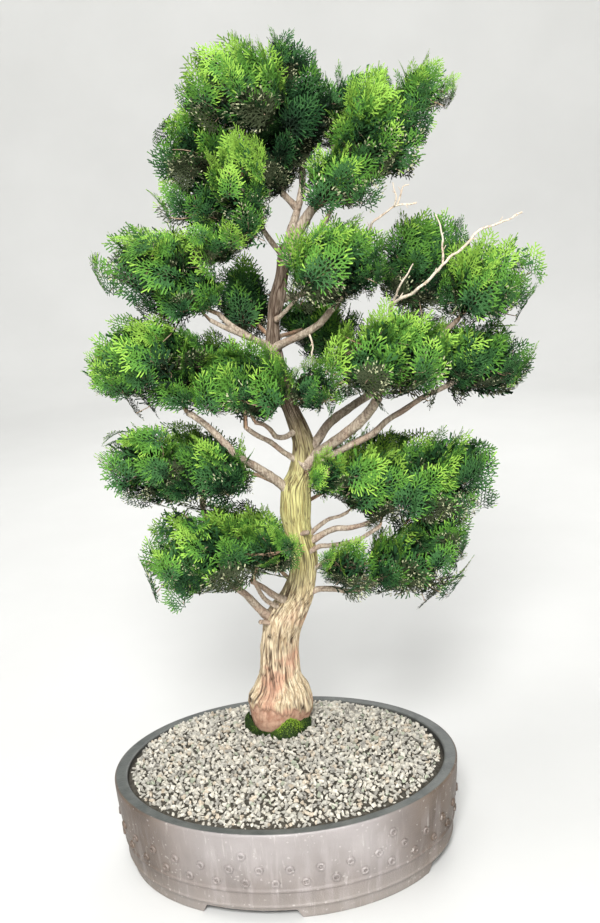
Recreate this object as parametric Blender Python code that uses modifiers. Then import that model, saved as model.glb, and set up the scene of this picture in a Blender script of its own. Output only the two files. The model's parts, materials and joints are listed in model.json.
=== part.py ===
"""A hinoki cypress bonsai in a shallow oval pot, modelled as solids for Blender 4.5.

The plant is an assembly: the pot, the gravel, the moss at the foot, the trunk, one node for
each bough, three dead twigs, and one node for each cloud of foliage.  Tables are in
millimetres, measured from the middle of the pot and from the floor.  The scene is in metres.
"""
import math
import random

import bmesh
import bpy
from mathutils import Matrix, Vector, noise
from mathutils.bvhtree import BVHTree

MM = 0.001
GAP = 0.3                        # clearance between pieces that touch
MERGE = 0.0001                   # merge distance of the modifiers, metres
UP = Vector((0.0, 0.0, 1.0))

# Where the middle of the pot lies, seen from the middle of the whole plant's footprint.
POT_CENTRE = (-53.7, -37.7)

# Pot: an oval tub, 406 x 320 mm and 110 mm high, on a foot ring with four low arches.
POT_LENGTH = 406.0
POT_DEPTH = 320.0
POT_HEIGHT = 110.0
RIM_WIDTH = 15.5
# The outside, from the rim down to the foot ring's inside: distance in from the widest edge, height.
POT_OUTSIDE = ((1.0, 110.0), (0.0, 108.5), (2.0, 76.0), (6.0, 40.0), (5.0, 37.5), (7.5, 34.5), (8.5, 19.5),
               (7.5, 17.0), (11.0, 14.0), (13.0, 0.0), (24.0, 0.0), (25.0, 13.0))
POT_UNDERSIDE = 13.0             # height of the pot's underside, within the foot ring
POT_FLOOR = 19.0                 # height of the floor inside
POT_CORNER = (6.0, 16.0)         # the sloped corner between floor and wall: along, up
POT_STEPS = 38
FOOT_MIDDLE = 18.5               # the middle of the foot ring, in from the widest edge
ARCH_LENGTH = 108.0
ARCH_HEIGHT = 11.5
ARCH_SLOPE = 7.0                 # each end of an arch slopes in by this much
ARCH_DEPTH = 60.0                # how far the cutter reaches across the foot ring
ARCH_BELOW = 2.0                 # and how far it reaches below the floor
ARCH_TURN = math.radians(-14.0)  # how far the four arches are turned from the pot's axes
GRAVEL_EDGE = -1.0               # height of the gravel at the wall, from the rim
GRAVEL_RISE = 17.5               # how much higher it is at the middle
GRAVEL_DOME = 3.5                # over 2, the heap is flatter on top and steeper at the wall
GRAVEL_HEAP = (-95.0, 90.0, 62.0, 4.0)       # a heap at the back left: x, y, reach, height
GRAVEL_LUMP = 2.8                # how much the uneven top rises and falls
GRAVEL_LUMP_SIZE = 31.0          # distance between its lumps
GRAVEL_RINGS = 6
GRAVEL_SIDE_GAP = 0.48           # clearance to the wall, more than GAP for the facets' sake

# Moss: a ring round the trunk's foot.
MOSS_RADIUS = 33.0               # the ring's middle line, from the trunk's
MOSS_WIDTH = 9.0                 # half the width of the ring's section
MOSS_SEGMENTS = (24, 6)          # round the foot, and round the section
MOSS_LOW = 0.75                  # height between the cushions, as a share of the half width
# Cushions: the direction from the trunk in degrees, half the angle they cover, added height.
MOSS_CUSHIONS = ((-72.0, 24.0, 1.55), (-25.0, 22.0, 1.15), (190.0, 26.0, 1.35), (60.0, 40.0, 0.5))
MOSS_LUMP = 0.3                  # how much noise adds to or takes from the height
MOSS_NOISE = 45.0                # noise cells per metre

# Trunk rows: height, middle x, middle y, width.
TRUNK_FOOT = 120.0
TRUNK = (
    (TRUNK_FOOT, -7, 61, 57), (128, -6, 61, 63), (138, -5, 61, 71), (149, -4, 61, 76),
    (159, -4, 61, 76), (167, -4, 60, 73), (175, -1, 60, 64), (183, -1, 60, 56),
    (192, -2, 60, 50), (204, -1, 60, 47), (225, 0, 60, 45), (243, 3, 59, 46),
    (262, 8, 58, 50), (280, 17, 58, 47), (298, 28, 59, 39), (320, 35, 60, 34), (342, 38, 60, 33),
    (378, 33, 60, 32), (400, 32, 60, 36), (428, 34, 60, 35), (447, 42, 60, 30),
    (464, 46, 60, 28), (480, 46, 60, 25), (500, 41, 60, 22), (520, 34, 61, 20),
    (548, 25, 62, 21), (580, 19, 63, 22), (600, 20, 63, 18), (620, 22, 63, 15),
    (645, 27, 62, 18), (672, 35, 61, 15), (692, 40, 60, 17), (706, 44, 60, 19),
)
TRUNK_SIDES = 14
FLARE_TOP = 185.0                # the root flare dies out at this height
FLUTES = ((3, 0.05, 0.4), (5, 0.03, 1.2))    # root flutes: how many, how deep, turned by
FLUTE_ABOVE = 0.35               # how much of the flutes runs on above the flare
TRUNK_LUMP = 0.05                # lumps of the bark, as a share of the radius
TRUNK_NOISE = (1.4, 0.025)       # noise cells per radius around and per millimetre up

# Limbs: parent, radius at the root, radius at the tip, path.
LIMBS = {
    "bough_left_1": ("trunk", 5.5, 3.6, [(-5, 55, 266), (-16, 45, 280), (-32, 30, 307), (-48, 12, 330)]),
    "bough_left_2": ("trunk", 3.0, 2.1, [(8, 50, 279), (-10, 35, 298), (-17, 18, 318), (-21, 2, 337)]),
    "bough_left_3": ("trunk", 4.2, 3.0, [(15, 50, 288), (0, 38, 302), (-12, 28, 317), (-24, 20, 328)]),
    "bough_left_low": ("trunk", 4.8, 3.0, [(30, 70, 325), (3, 85, 334), (-29, 85, 349), (-50, 62, 373),
                                           (-64, 38, 394), (-72, 22, 415), (-72, 15, 432)]),
    "bough_left_long": ("trunk", 5.9, 3.4, [(29, 60, 418), (14, 50, 437), (-7, 35, 459), (-26, 20, 476),
                                            (-40, 15, 494), (-54, 15, 511), (-68, 18, 524),
                                            (-80, 22, 532)]),
    "bough_left_inner_1": ("trunk", 3.5, 2.6, [(41, 60, 456), (23, 45, 473), (9, 30, 490), (-6, 15, 503),
                                               (-16, 5, 514)]),
    "bough_left_inner_2": ("trunk", 3.5, 2.3, [(42, 60, 497), (29, 45, 492), (17, 30, 495), (10, 18, 507),
                                               (3, 8, 516), (-5, -2, 521)]),
    "bough_upper_left_1": ("trunk", 4.5, 2.8, [(22, 60, 589), (7, 55, 599), (-10, 50, 610), (-25, 50, 621),
                                               (-38, 50, 635)]),
    "bough_upper_left_2": ("bough_upper_left_1", 2.8, 2.3, [(-5, 51, 607), (-18, 44, 613), (-33, 38, 622),
                                                            (-47, 36, 631)]),
    "bough_right_bottom_1": ("trunk", 4.2, 2.1, [(32, 60, 290), (52, 50, 301), (71, 30, 308), (88, 10, 312),
                                                 (109, 0, 320), (130, 0, 330)]),
    "bough_right_bottom_2": ("trunk", 3.0, 2.1, [(39, 60, 318), (54, 50, 330), (65, 35, 344),
                                                 (72, 20, 351)]),
    "bough_right_low_1": ("trunk", 3.0, 1.8, [(39, 60, 360), (54, 55, 375), (69, 50, 387), (83, 45, 392),
                                              (92, 40, 398)]),
    "bough_right_low_2": ("trunk", 4.2, 2.4, [(39, 60, 354), (56, 52, 366), (75, 44, 377), (95, 36, 380),
                                              (113, 30, 386), (132, 30, 395), (145, 32, 402)]),
    "bough_right_low_3": ("trunk", 3.0, 2.2, [(38, 55, 342), (55, 45, 356), (69, 33, 361), (86, 20, 367),
                                              (102, 13, 373), (116, 9, 382), (127, 8, 389)]),
    "bough_right_tip": ("trunk", 5.8, 3.2, [(49, 60, 468), (63, 60, 481), (76, 65, 497), (96, 75, 509),
                                            (138, 90, 531), (182, 90, 564), (211, 75, 590),
                                            (229, 60, 609)]),
    "bough_right_front": ("trunk", 6.9, 4.8, [(45, 55, 455), (67, 48, 471), (90, 33, 490), (108, 18, 507),
                                              (122, 3, 525), (130, -10, 541)]),
    "bough_right_under": ("trunk", 4.7, 2.6, [(48, 56, 446), (69, 50, 460), (99, 40, 477), (125, 32, 491),
                                              (141, 30, 505), (159, 30, 515), (185, 35, 529),
                                              (211, 45, 537), (233, 50, 545)]),
    "bough_upper_right_1": ("trunk", 4.5, 3.4, [(16, 60, 589), (32, 50, 598), (50, 35, 607), (71, 20, 620),
                                                (84, 10, 635), (93, 5, 646), (102, 0, 657)]),
    "bough_upper_right_2": ("trunk", 2.3, 1.7, [(25, 55, 624), (34, 45, 632), (43, 35, 642),
                                                (51, 25, 651), (60, 15, 664)]),
    "bough_upper_back": ("trunk", 4.0, 2.8, [(29, 65, 645), (49, 90, 645), (90, 120, 650), (134, 140, 659),
                                             (161, 145, 664)]),
    "leader_right_1": ("trunk", 6.8, 4.5, [(41, 60, 693), (51, 60, 710), (62, 55, 728), (74, 50, 743),
                                           (88, 45, 752), (101, 40, 759)]),
    "leader_right_2": ("trunk", 3.4, 2.2, [(37, 57, 686), (54, 45, 698), (70, 37, 711), (82, 28, 725),
                                           (92, 20, 741)]),
    "leader_left": ("trunk", 3.4, 2.3, [(43, 60, 686), (33, 54, 700), (25, 40, 713), (18, 25, 727),
                                        (17, 5, 743), (15, -8, 756)]),
    "leader_middle": ("trunk", 5.1, 3.4, [(42, 64, 694), (47, 80, 715), (57, 95, 740), (64, 102, 764),
                                          (66, 107, 789), (65, 110, 806)]),
    "leader_crown_left": ("leader_middle", 3.5, 2.9, [(58, 96, 742), (44, 86, 758), (27, 72, 781),
                                                      (12, 57, 809), (2, 44, 834)]),
    "leader_back": ("leader_right_1", 3.9, 2.8, [(64, 54, 730), (79, 85, 748), (93, 118, 774),
                                                 (104, 142, 802), (110, 152, 820)]),
    "dead_twig_right": ("bough_right_tip", 2.4, 1.0, [(166, 90, 552), (160, 64, 592), (151, 38, 628),
                                                      (159, 20, 641), (172, 10, 648), (186, 0, 659),
                                                      (200, -10, 674), (210, -15, 685),
                                                      (226, -20, 696), (240, -20, 711),
                                                      (256, -20, 717), (274, -15, 721),
                                                      (289, -10, 728)]),
    "dead_twig_top": ("bough_upper_back", 2.0, 0.9, [(132, 139, 658), (134, 100, 682), (134, 60, 703),
                                                     (134, 30, 722), (147, 20, 733), (161, 15, 742),
                                                     (173, 10, 742), (182, 10, 744)]),
    "dead_twig_hanging": ("bough_upper_right_1", 1.3, 0.8, [(60, 28, 614), (63, 23, 600), (62, 21, 590),
                                                            (61, 20, 580)]),
}
# Side shoots of the dead twigs: twig, radius at the root, radius at the tip, path.
SHOOTS = (
    ("dead_twig_right", 1.4, 0.8, [(205, -12, 679), (205, -15, 697), (204, -20, 712), (198, -20, 732)]),
    ("dead_twig_right", 1.5, 0.8, [(154, 32, 634), (159, 18, 652), (167, 12, 666), (176, 10, 680)]),
    ("dead_twig_top", 1.1, 0.7, [(159, 15, 741), (161, 10, 752), (158, 10, 766)]),
    ("dead_twig_top", 1.1, 0.7, [(162, 15, 742), (167, 10, 756), (169, 10, 761), (175, 10, 763)]),
)
RING_SPACING = 24.0              # distance between the rings of a limb
LIMB_TAPER = 0.85                # under 1, the taper is quicker near the root
LIMB_RESOLUTION = 1              # bevel resolution: 1 gives six sides

# Foliage: the limb or trunk height that feeds it, then its lobes, fed one first.
# A lobe is its middle (x, y, z) and its half sizes (along x, y and z).
MASSES = {
    "foliage_crown_left": ("leader_crown_left", [(0, 28, 876, 50, 50, 50), (-38, 35, 820, 43, 44, 42),
                                                 (-47, 50, 768, 33, 40, 34)]),
    "foliage_crown_front": ("leader_left", [(-2, -30, 782, 30, 34, 44), (-4, -22, 736, 22, 30, 28)]),
    "foliage_crown_middle": ("leader_middle", [(70, 112, 850, 36, 50, 56), (58, 100, 903, 25, 40, 32),
                                               (31, 95, 805, 38, 44, 44)]),
    "foliage_crown_right": ("leader_right_1", [(118, 38, 785, 46, 42, 38), (152, 35, 828, 48, 50, 54),
                                               (203, 40, 866, 30, 30, 32)]),
    "foliage_crown_back": ("leader_back", [(135, 170, 850, 52, 52, 46)]),
    "foliage_upper_left": ("bough_upper_left_1", [(-82, 50, 668, 48, 48, 31), (-102, 40, 704, 52, 52, 34),
                                                  (-46, 55, 722, 31, 40, 33)]),
    "foliage_upper_left_inner": (600, [(-14, 130, 645, 36, 48, 40)]),
    "foliage_upper_right": ("bough_upper_right_1", [(100, 0, 692, 52, 48, 49)]),
    "foliage_upper_right_back": ("bough_upper_back", [(205, 150, 672, 50, 52, 58)]),
    "foliage_right_tip": ("bough_right_tip", [(262, 50, 655, 46, 50, 47)]),
    "foliage_right_under": ("bough_right_under", [(258, 60, 568, 50, 50, 44)]),
    "foliage_right_front": ("bough_right_front", [(147, -30, 595, 62, 52, 48)]),
    "foliage_right_inner": (536, [(64, -12, 560, 34, 38, 25)]),
    "foliage_left_middle": ("bough_left_long", [(-98, 30, 572, 50, 46, 28), (-117, 20, 606, 57, 54, 41),
                                                (-152, 15, 588, 34, 40, 32)]),
    "foliage_left_inner": ("bough_left_inner_1", [(-17, 0, 570, 48, 42, 44)]),
    "foliage_left_low": ("bough_left_low", [(-70, 10, 470, 52, 46, 38), (-136, 0, 492, 42, 48, 36),
                                            (-116, 5, 460, 44, 40, 25)]),
    "foliage_left_bottom": ("bough_left_1", [(-71, -12, 388, 60, 54, 44), (-5, -33, 384, 38, 30, 29),
                                             (-98, -10, 360, 36, 40, 28)]),
    "foliage_right_low": ("bough_right_low_2", [(134, 20, 442, 55, 48, 38), (210, 32, 456, 57, 52, 31),
                                                (197, 30, 424, 47, 44, 31)]),
    "foliage_right_tuft": (446, [(71, -2, 461, 22, 30, 25)]),
    "foliage_right_bottom": ("bough_right_bottom_1", [(166, 14, 351, 60, 52, 40), (92, 0, 348, 36, 33, 29),
                                                      (198, 20, 377, 39, 40, 33)]),
    "foliage_back_upper": (602, [(75, 168, 607, 46, 50, 38)]),
    "foliage_back_middle_left": (556, [(-72, 166, 558, 60, 54, 40)]),
    "foliage_back_middle_right": (520, [(180, 178, 560, 66, 52, 42)]),
    "foliage_back_low_left": (420, [(-92, 150, 450, 54, 50, 38)]),
    "foliage_back_low_right": (400, [(142, 162, 424, 64, 54, 40)]),
    "foliage_back_bottom": (300, [(-42, 142, 344, 56, 50, 38)]),
}
CORE_SHARE = 0.79                # a lobe's core, as a share of its half sizes
CORE_LUMPS = 0.18                # how much noise adds to or takes from the core
CORE_NOISE = 2.1                 # noise cells per radius
CORE_FINE_SIZE = 50.0            # lobes of this mean half size have cores with four times the faces
CORE_STEP = 0.93                 # a core's corner draws in by this much until it is in its own space
CORE_LEAST = 0.2                 # but no further than this
PATCH = 67.0                     # each spray covers a patch this wide
FEWEST = 5                       # but no lobe has fewer sprays than this
ROOT_SHARE = 0.62                # where a spray is rooted, inside the core
TWIG_ROOT_SHARE = 0.74           # where a spray on a twig of its own is rooted
TWIG_EVERY = 3                   # one spray in this many sits on a twig of its own
TIP_SHARE = 1.15                 # where the tips of the sprays come to
EDGE_SHARE = 1.24                # no part of a spray goes beyond this
SPRAY_TEETH = 2
SPRAY_SPREAD = math.radians(58.0)
SPRAY_ROUND = 0.28               # how much shorter a spray is at its sides
SPRAY_NOTCH = 0.78               # depth of the notches, as a share of the length
SPRAY_MIDDLE = 0.45              # where a spray is thickest
SPRAY_THICKNESS = 3.2
SPRAY_LENGTH = (0.75, 1.15)      # shortest and longest, as a share of the lobe's mean half size
SPRAY_DRAWS = 14                 # how many leans are tried before a spray is skipped
SPRAY_SHRINK = 0.03              # how much shorter each new try is
LEAN_OUT = 0.30                  # how much a spray leans away from the trunk
LEAN_UP = 0.15
LEAN_JITTER = 0.22
FACE_JITTER = 0.70               # how much its face tips away from level
FACE_OUT = 0.30                  # how much its face turns outwards
TRUNK_AXIS = (30.0, 60.0)        # the trunk's mean middle, that sprays lean away from
TWIG_RADIUS = (2.2, 1.6)         # at the root and at the tip
TWIG_SUNK = 8.0                  # how far a twig runs on into its spray
STEM_RADIUS = (3.0, 2.4)
ROOM = 2.0                       # clear distance between two clouds' spaces

COLOURS = {
    "pot": ((0.23, 0.20, 0.20), 0.70),
    "gravel": ((0.44, 0.42, 0.37), 0.95),
    "moss": ((0.10, 0.17, 0.03), 0.95),
    "trunk": ((0.42, 0.30, 0.21), 0.90),
    "bough": ((0.30, 0.22, 0.17), 0.90),
    "dead_twig": ((0.52, 0.41, 0.32), 0.85),
    "foliage": ((0.06, 0.17, 0.05), 0.75),
}


# ---------------------------------------------------------------- scene and helpers

def clear_scene():
    for old in list(bpy.data.objects):
        bpy.data.objects.remove(old, do_unlink=True)


def new_collection(name):
    collection = bpy.data.collections.new(name)
    bpy.context.scene.collection.children.link(collection)
    return collection


def new_material(name):
    colour, roughness = COLOURS[name]
    material = bpy.data.materials.new(name)
    material.use_nodes = True
    shader = material.node_tree.nodes["Principled BSDF"]
    shader.inputs["Base Color"].default_value = (*colour, 1.0)
    shader.inputs["Roughness"].default_value = roughness
    shader.inputs["Metallic"].default_value = 0.0
    return material


def place(x, y, z):
    """A point of the tables, in metres and in the plant's own frame."""
    return Vector((x + POT_CENTRE[0], y + POT_CENTRE[1], z)) * MM


def add_object(name, mesh, collection, material=None):
    made = bpy.data.objects.new(name, mesh)
    collection.objects.link(made)
    if material:
        mesh.materials.clear()
        mesh.materials.append(material)
    return made


def add_from_bmesh(name, shape, collection, material=None):
    mesh = bpy.data.meshes.new(name)
    shape.to_mesh(mesh)
    shape.free()
    return add_object(name, mesh, collection, material)


def as_cutter(made):
    made.hide_render = True
    made.display_type = "WIRE"
    return made


def boolean(made, operation, other, solver="EXACT"):
    modifier = made.modifiers.new(operation.lower(), "BOOLEAN")
    modifier.operation = operation
    modifier.solver = solver
    if isinstance(other, bpy.types.Collection):
        modifier.operand_type = "COLLECTION"
        modifier.collection = other
    else:
        modifier.object = other
    return modifier


def evaluated_mesh(made):
    graph = bpy.context.evaluated_depsgraph_get()
    return bpy.data.meshes.new_from_object(made.evaluated_get(graph))


def apply_modifiers(made):
    """Put the evaluated mesh in place of the object's own."""
    mesh = evaluated_mesh(made)
    made.modifiers.clear()
    made.data = mesh


def keep_largest_body(made):
    """Drop the loose scraps that a cut leaves, and keep the body with the most faces."""
    shape = bmesh.new()
    shape.from_mesh(made.data)
    bodies = []
    unseen = set(shape.faces)
    while unseen:
        front = [unseen.pop()]
        body = set(front)
        while front:
            face = front.pop()
            for edge in face.edges:
                for other in edge.link_faces:
                    if other in unseen:
                        unseen.remove(other)
                        body.add(other)
                        front.append(other)
        bodies.append(body)
    largest = max(bodies, key=len)
    scraps = [face for body in bodies if body is not largest for face in body]
    if scraps:
        bmesh.ops.delete(shape, geom=scraps, context="FACES")
    shape.to_mesh(made.data)
    shape.free()


def mesh_tree(made):
    mesh = made.data
    corners = [made.matrix_world @ vertex.co for vertex in mesh.vertices]
    return BVHTree.FromPolygons(corners, [tuple(face.vertices) for face in mesh.polygons])


def smooth_row(rows, t):
    """Catmull-Rom value at t along rows of numbers, with t from 0 to len(rows) - 1."""
    i = min(int(t), len(rows) - 2)
    f = t - i
    before, here, after, last = (rows[max(i - 1, 0)], rows[i], rows[i + 1], rows[min(i + 2, len(rows) - 1)])
    return [0.5 * (2 * b + (c - a) * f + (2 * a - 5 * b + 4 * c - d) * f * f
                   + (3 * b - a - 3 * c + d) * f ** 3)
            for a, b, c, d in zip(before, here, after, last)]


# ---------------------------------------------------------------- pot, gravel and moss

def turned(name, profile, collection, material, steps=POT_STEPS):
    """Turn a profile of (radius, height) about the pot's middle, squeezed to the oval."""
    mesh = bpy.data.meshes.new(name)
    points = [(radius * MM, 0.0, height * MM) for radius, height in profile]
    mesh.from_pydata(points, [(i, i + 1) for i in range(len(points) - 1)], [])
    made = add_object(name, mesh, collection, material)
    screw = made.modifiers.new("turn", "SCREW")
    screw.axis = "Z"
    screw.steps = steps
    screw.render_steps = steps
    screw.use_merge_vertices = True
    screw.merge_threshold = MERGE
    apply_modifiers(made)
    made.data.transform(Matrix.Diagonal((1.0, POT_DEPTH / POT_LENGTH, 1.0, 1.0)))
    made.location = place(0, 0, 0)
    if material:
        made.data.materials.clear()
        made.data.materials.append(material)
    return made


def pot_profile():
    """From the middle of the floor up the inside, over the rim and down to the underside."""
    outer = POT_LENGTH / 2
    inner = outer - RIM_WIDTH
    along, up = POT_CORNER
    inside = [(0, POT_FLOOR), (inner - along, POT_FLOOR), (inner, POT_FLOOR + up), (inner, POT_HEIGHT)]
    outside = [(outer - inset, height) for inset, height in POT_OUTSIDE]
    return inside + outside + [(0, POT_UNDERSIDE)]


def arch_cutter(turn, cutters):
    """A low block with sloped ends that cuts an arch through the foot ring."""
    shape = bmesh.new()
    bmesh.ops.create_cube(shape, size=1.0)
    for vertex in shape.verts:
        low = vertex.co.z < 0
        length = ARCH_LENGTH + (ARCH_SLOPE if low else -ARCH_SLOPE)
        vertex.co.x *= length * MM
        vertex.co.y *= ARCH_DEPTH * MM
        vertex.co.z = (-ARCH_BELOW if low else ARCH_HEIGHT) * MM
    cutter = add_from_bmesh("arch_cutter", shape, cutters)
    along = POT_LENGTH / 2 - FOOT_MIDDLE
    across = along * POT_DEPTH / POT_LENGTH
    x, y = along * math.cos(turn), across * math.sin(turn)
    cutter.location = place(x, y, 0)
    cutter.rotation_euler.z = math.atan2(y / across ** 2, x / along ** 2) + math.pi / 2
    return as_cutter(cutter)


def make_pot(parts, cutters, material):
    pot = turned("pot", pot_profile(), parts, material)
    for quarter in range(4):
        turn = -math.pi / 2 + ARCH_TURN + quarter * math.pi / 2
        boolean(pot, "DIFFERENCE", arch_cutter(turn, cutters))
    apply_modifiers(pot)
    pot.data.set_sharp_from_angle(angle=math.radians(30))
    return pot


def gravel_height(x, y):
    """Height of the heaped, uneven gravel at a spot of the pot, calm at the wall."""
    reach = POT_LENGTH / 2 - RIM_WIDTH
    share = min(1.0, math.hypot(x, y * POT_LENGTH / POT_DEPTH) / reach)
    heap_x, heap_y, heap_reach, heap_height = GRAVEL_HEAP
    heap = heap_height * math.exp(-((x - heap_x) ** 2 + (y - heap_y) ** 2) / heap_reach ** 2)
    lump = GRAVEL_LUMP * noise.noise(Vector((x, y, 0.0)) / GRAVEL_LUMP_SIZE) * (1.0 - share ** 6)
    return POT_HEIGHT + GRAVEL_EDGE + GRAVEL_RISE * (1.0 - share ** GRAVEL_DOME) + heap + lump


def gravel_solid(name, extra, collection, material=None):
    reach = POT_LENGTH / 2 - RIM_WIDTH - GRAVEL_SIDE_GAP + extra
    along, up = POT_CORNER
    base = POT_FLOOR + 2 * GAP
    profile = [(reach * i / GRAVEL_RINGS, POT_HEIGHT) for i in range(GRAVEL_RINGS + 1)]
    profile += [(reach, base + up), (reach - along, base), (0, base)]
    made = turned(name, profile, collection, material)
    for vertex in made.data.vertices:
        if vertex.co.z > (POT_HEIGHT - 1.0) * MM:
            vertex.co.z = (gravel_height(vertex.co.x / MM, vertex.co.y / MM) + extra) * MM
    return made


def make_moss(parts, cutters, material, trunk_cutter):
    """A lumpy ring of moss round the foot, with a few cushions that climb it."""
    foot_x, foot_y = TRUNK[0][1:3]
    around, section = MOSS_SEGMENTS
    bpy.ops.mesh.primitive_torus_add(major_segments=around, minor_segments=section,
                                     major_radius=MOSS_RADIUS * MM, minor_radius=MOSS_WIDTH * MM)
    moss = bpy.context.object
    moss.name = "moss"
    for owner in list(moss.users_collection):
        owner.objects.unlink(moss)
    parts.objects.link(moss)
    moss.data.materials.append(material)
    for vertex in moss.data.vertices:
        x, y = vertex.co.x / MM, vertex.co.y / MM
        height = MOSS_LOW + MOSS_LUMP * noise.noise(vertex.co * MOSS_NOISE)
        for toward, half_angle, rise in MOSS_CUSHIONS:
            away = (math.degrees(math.atan2(y, x)) - toward + 180.0) % 360.0 - 180.0
            height += rise * math.exp(-(away / half_angle) ** 2)
        vertex.co.z = max(vertex.co.z, -MOSS_WIDTH / 2 * MM) * height
        vertex.co.z += gravel_height(foot_x + x, foot_y + y) * MM
    moss.location = place(foot_x, foot_y, 0)
    bpy.context.view_layer.update()
    boolean(moss, "DIFFERENCE", trunk_cutter)
    gravel_cutter = as_cutter(gravel_solid("gravel_cutter", GAP, cutters))
    boolean(moss, "DIFFERENCE", gravel_cutter)
    apply_modifiers(moss)
    keep_largest_body(moss)
    return moss


# ---------------------------------------------------------------- trunk and limbs

def trunk_section(row, extra):
    """One ring of the trunk, lobed where the roots flare."""
    height, middle_x, middle_y, width = row
    flare = max(0.0, 1.0 - (height - TRUNK_FOOT) / (FLARE_TOP - TRUNK_FOOT))
    ring = []
    for side in range(TRUNK_SIDES):
        angle = 2 * math.pi * side / TRUNK_SIDES
        flutes = sum(deep * math.cos(count * angle + turn) for count, deep, turn in FLUTES)
        around, up = TRUNK_NOISE
        lump = noise.noise(Vector((around * math.cos(angle), around * math.sin(angle), up * height)))
        radius = width / 2 * (1.0 + flutes * (FLUTE_ABOVE + flare) + TRUNK_LUMP * lump) + extra
        ring.append(place(middle_x + radius * math.cos(angle), middle_y + radius * math.sin(angle), height))
    return ring


def loft(name, rings, collection, material=None):
    """Join rings of points into one closed body, each end capped flat."""
    shape = bmesh.new()
    made = [[shape.verts.new(point) for point in ring] for ring in rings]
    sides = len(made[0])
    for low, high in zip(made, made[1:]):
        for i in range(sides):
            j = (i + 1) % sides
            shape.faces.new((low[i], low[j], high[j]))
            shape.faces.new((low[i], high[j], high[i]))
    shape.faces.new(list(reversed(made[0])))
    shape.faces.new(made[-1])
    return add_from_bmesh(name, shape, collection, material)


def trunk_solid(name, extra, collection, material=None):
    rings = []
    for number, row in enumerate(TRUNK):
        height = row[0]
        if number == 0:
            height -= extra
        if number == len(TRUNK) - 1:
            height += extra
        rings.append(trunk_section((height, *row[1:]), extra))
    return loft(name, rings, collection, material)


def limb_path(root_radius, tip_radius, points, extra):
    """Points in metres along a smooth tapering limb, with the radius at each."""
    length = sum((Vector(b) - Vector(a)).length for a, b in zip(points, points[1:]))
    count = max(3, round(length / RING_SPACING)) + 1
    path = []
    for i in range(count):
        t = i / (count - 1)
        spot = Vector(smooth_row(points, t * (len(points) - 1)))
        radius = root_radius + (tip_radius - root_radius) * t ** LIMB_TAPER
        path.append([spot, radius + extra])
    end = (path[-1][0] - path[-2][0]).normalized()
    path[-1][0] = path[-1][0] + end * extra
    return [(place(*spot), radius * MM) for spot, radius in path]


def tube(name, path, collection, material=None):
    """A curve with a bevel and filled caps, turned into a welded mesh."""
    curve = bpy.data.curves.new(name, "CURVE")
    curve.dimensions = "3D"
    curve.bevel_depth = 1.0
    curve.bevel_resolution = LIMB_RESOLUTION
    curve.use_fill_caps = True
    spline = curve.splines.new("POLY")
    spline.points.add(len(path) - 1)
    for point, (spot, radius) in zip(spline.points, path):
        point.co = (*spot, 1.0)
        point.radius = radius
    guide = add_object(name + "_curve", curve, collection)
    mesh = evaluated_mesh(guide)
    shape = bmesh.new()
    shape.from_mesh(mesh)
    bmesh.ops.remove_doubles(shape, verts=shape.verts, dist=MERGE * MM)
    bmesh.ops.recalc_face_normals(shape, faces=shape.faces)
    bpy.data.meshes.remove(mesh)
    made = add_from_bmesh(name, shape, collection, material)
    made.matrix_world = guide.matrix_world
    bpy.data.objects.remove(guide, do_unlink=True)
    return made


def fuse(made, pieces):
    """One union of the object with everything in a collection, then the scraps go."""
    boolean(made, "UNION", pieces)
    apply_modifiers(made)
    for piece in list(pieces.objects):
        bpy.data.objects.remove(piece, do_unlink=True)


def make_limb(name, parts, cutters, materials, cutter_of):
    parent, root_radius, tip_radius, points = LIMBS[name]
    material = materials["dead_twig" if name.startswith("dead") else "bough"]
    limb = tube(name, limb_path(root_radius, tip_radius, points, 0.0), parts, material)
    swollen = tube(name + "_cutter", limb_path(root_radius, tip_radius, points, GAP), cutters)
    for number, shoot in enumerate([row for row in SHOOTS if row[0] == name]):
        pieces = new_collection(name + "_shoots")
        tube(f"{name}_shoot_{number}", limb_path(*shoot[1:], 0.0), pieces)
        fuse(limb, pieces)
        tube(f"{name}_shoot_cutter_{number}", limb_path(*shoot[1:], GAP), pieces)
        fuse(swollen, pieces)
        bpy.data.collections.remove(pieces)
    own = mesh_tree(limb)
    for other, cutter in cutter_of.items():
        if other == parent or own.overlap(mesh_tree(cutter)):
            boolean(limb, "DIFFERENCE", cutter)
    apply_modifiers(limb)
    keep_largest_body(limb)
    limb.data.shade_smooth()
    limb.data.set_sharp_from_angle(angle=math.radians(50))
    cutter_of[name] = as_cutter(swollen)
    return limb


# ---------------------------------------------------------------- foliage

def lobe_value(lobe, spot):
    """0 at a lobe's middle and 1 on its surface."""
    x, y, z, half_x, half_y, half_z = lobe
    return math.sqrt(((spot[0] - x) / half_x) ** 2 + ((spot[1] - y) / half_y) ** 2
                     + ((spot[2] - z) / half_z) ** 2)


def mass_value(name, spot):
    """How deep a spot lies in a cloud's space, with the size of that lobe in millimetres."""
    return min((lobe_value(lobe, spot), sum(lobe[3:]) / 3) for lobe in MASSES[name][1])


def in_own_space(name, spot):
    own, _ = mass_value(name, spot)
    if own > EDGE_SHARE:
        return False
    for other in MASSES:
        if other != name:
            value, size = mass_value(other, spot)
            if (value - own) * size < ROOM:
                return False
    return True


def even_directions(count, turn):
    """Directions spread evenly over a sphere, along a spiral."""
    golden = math.pi * (3.0 - math.sqrt(5.0))
    for i in range(count):
        up = 1.0 - 2.0 * (i + 0.5) / count
        ring = math.sqrt(1.0 - up * up)
        yield Vector((ring * math.cos(golden * i + turn), ring * math.sin(golden * i + turn), up))


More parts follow.
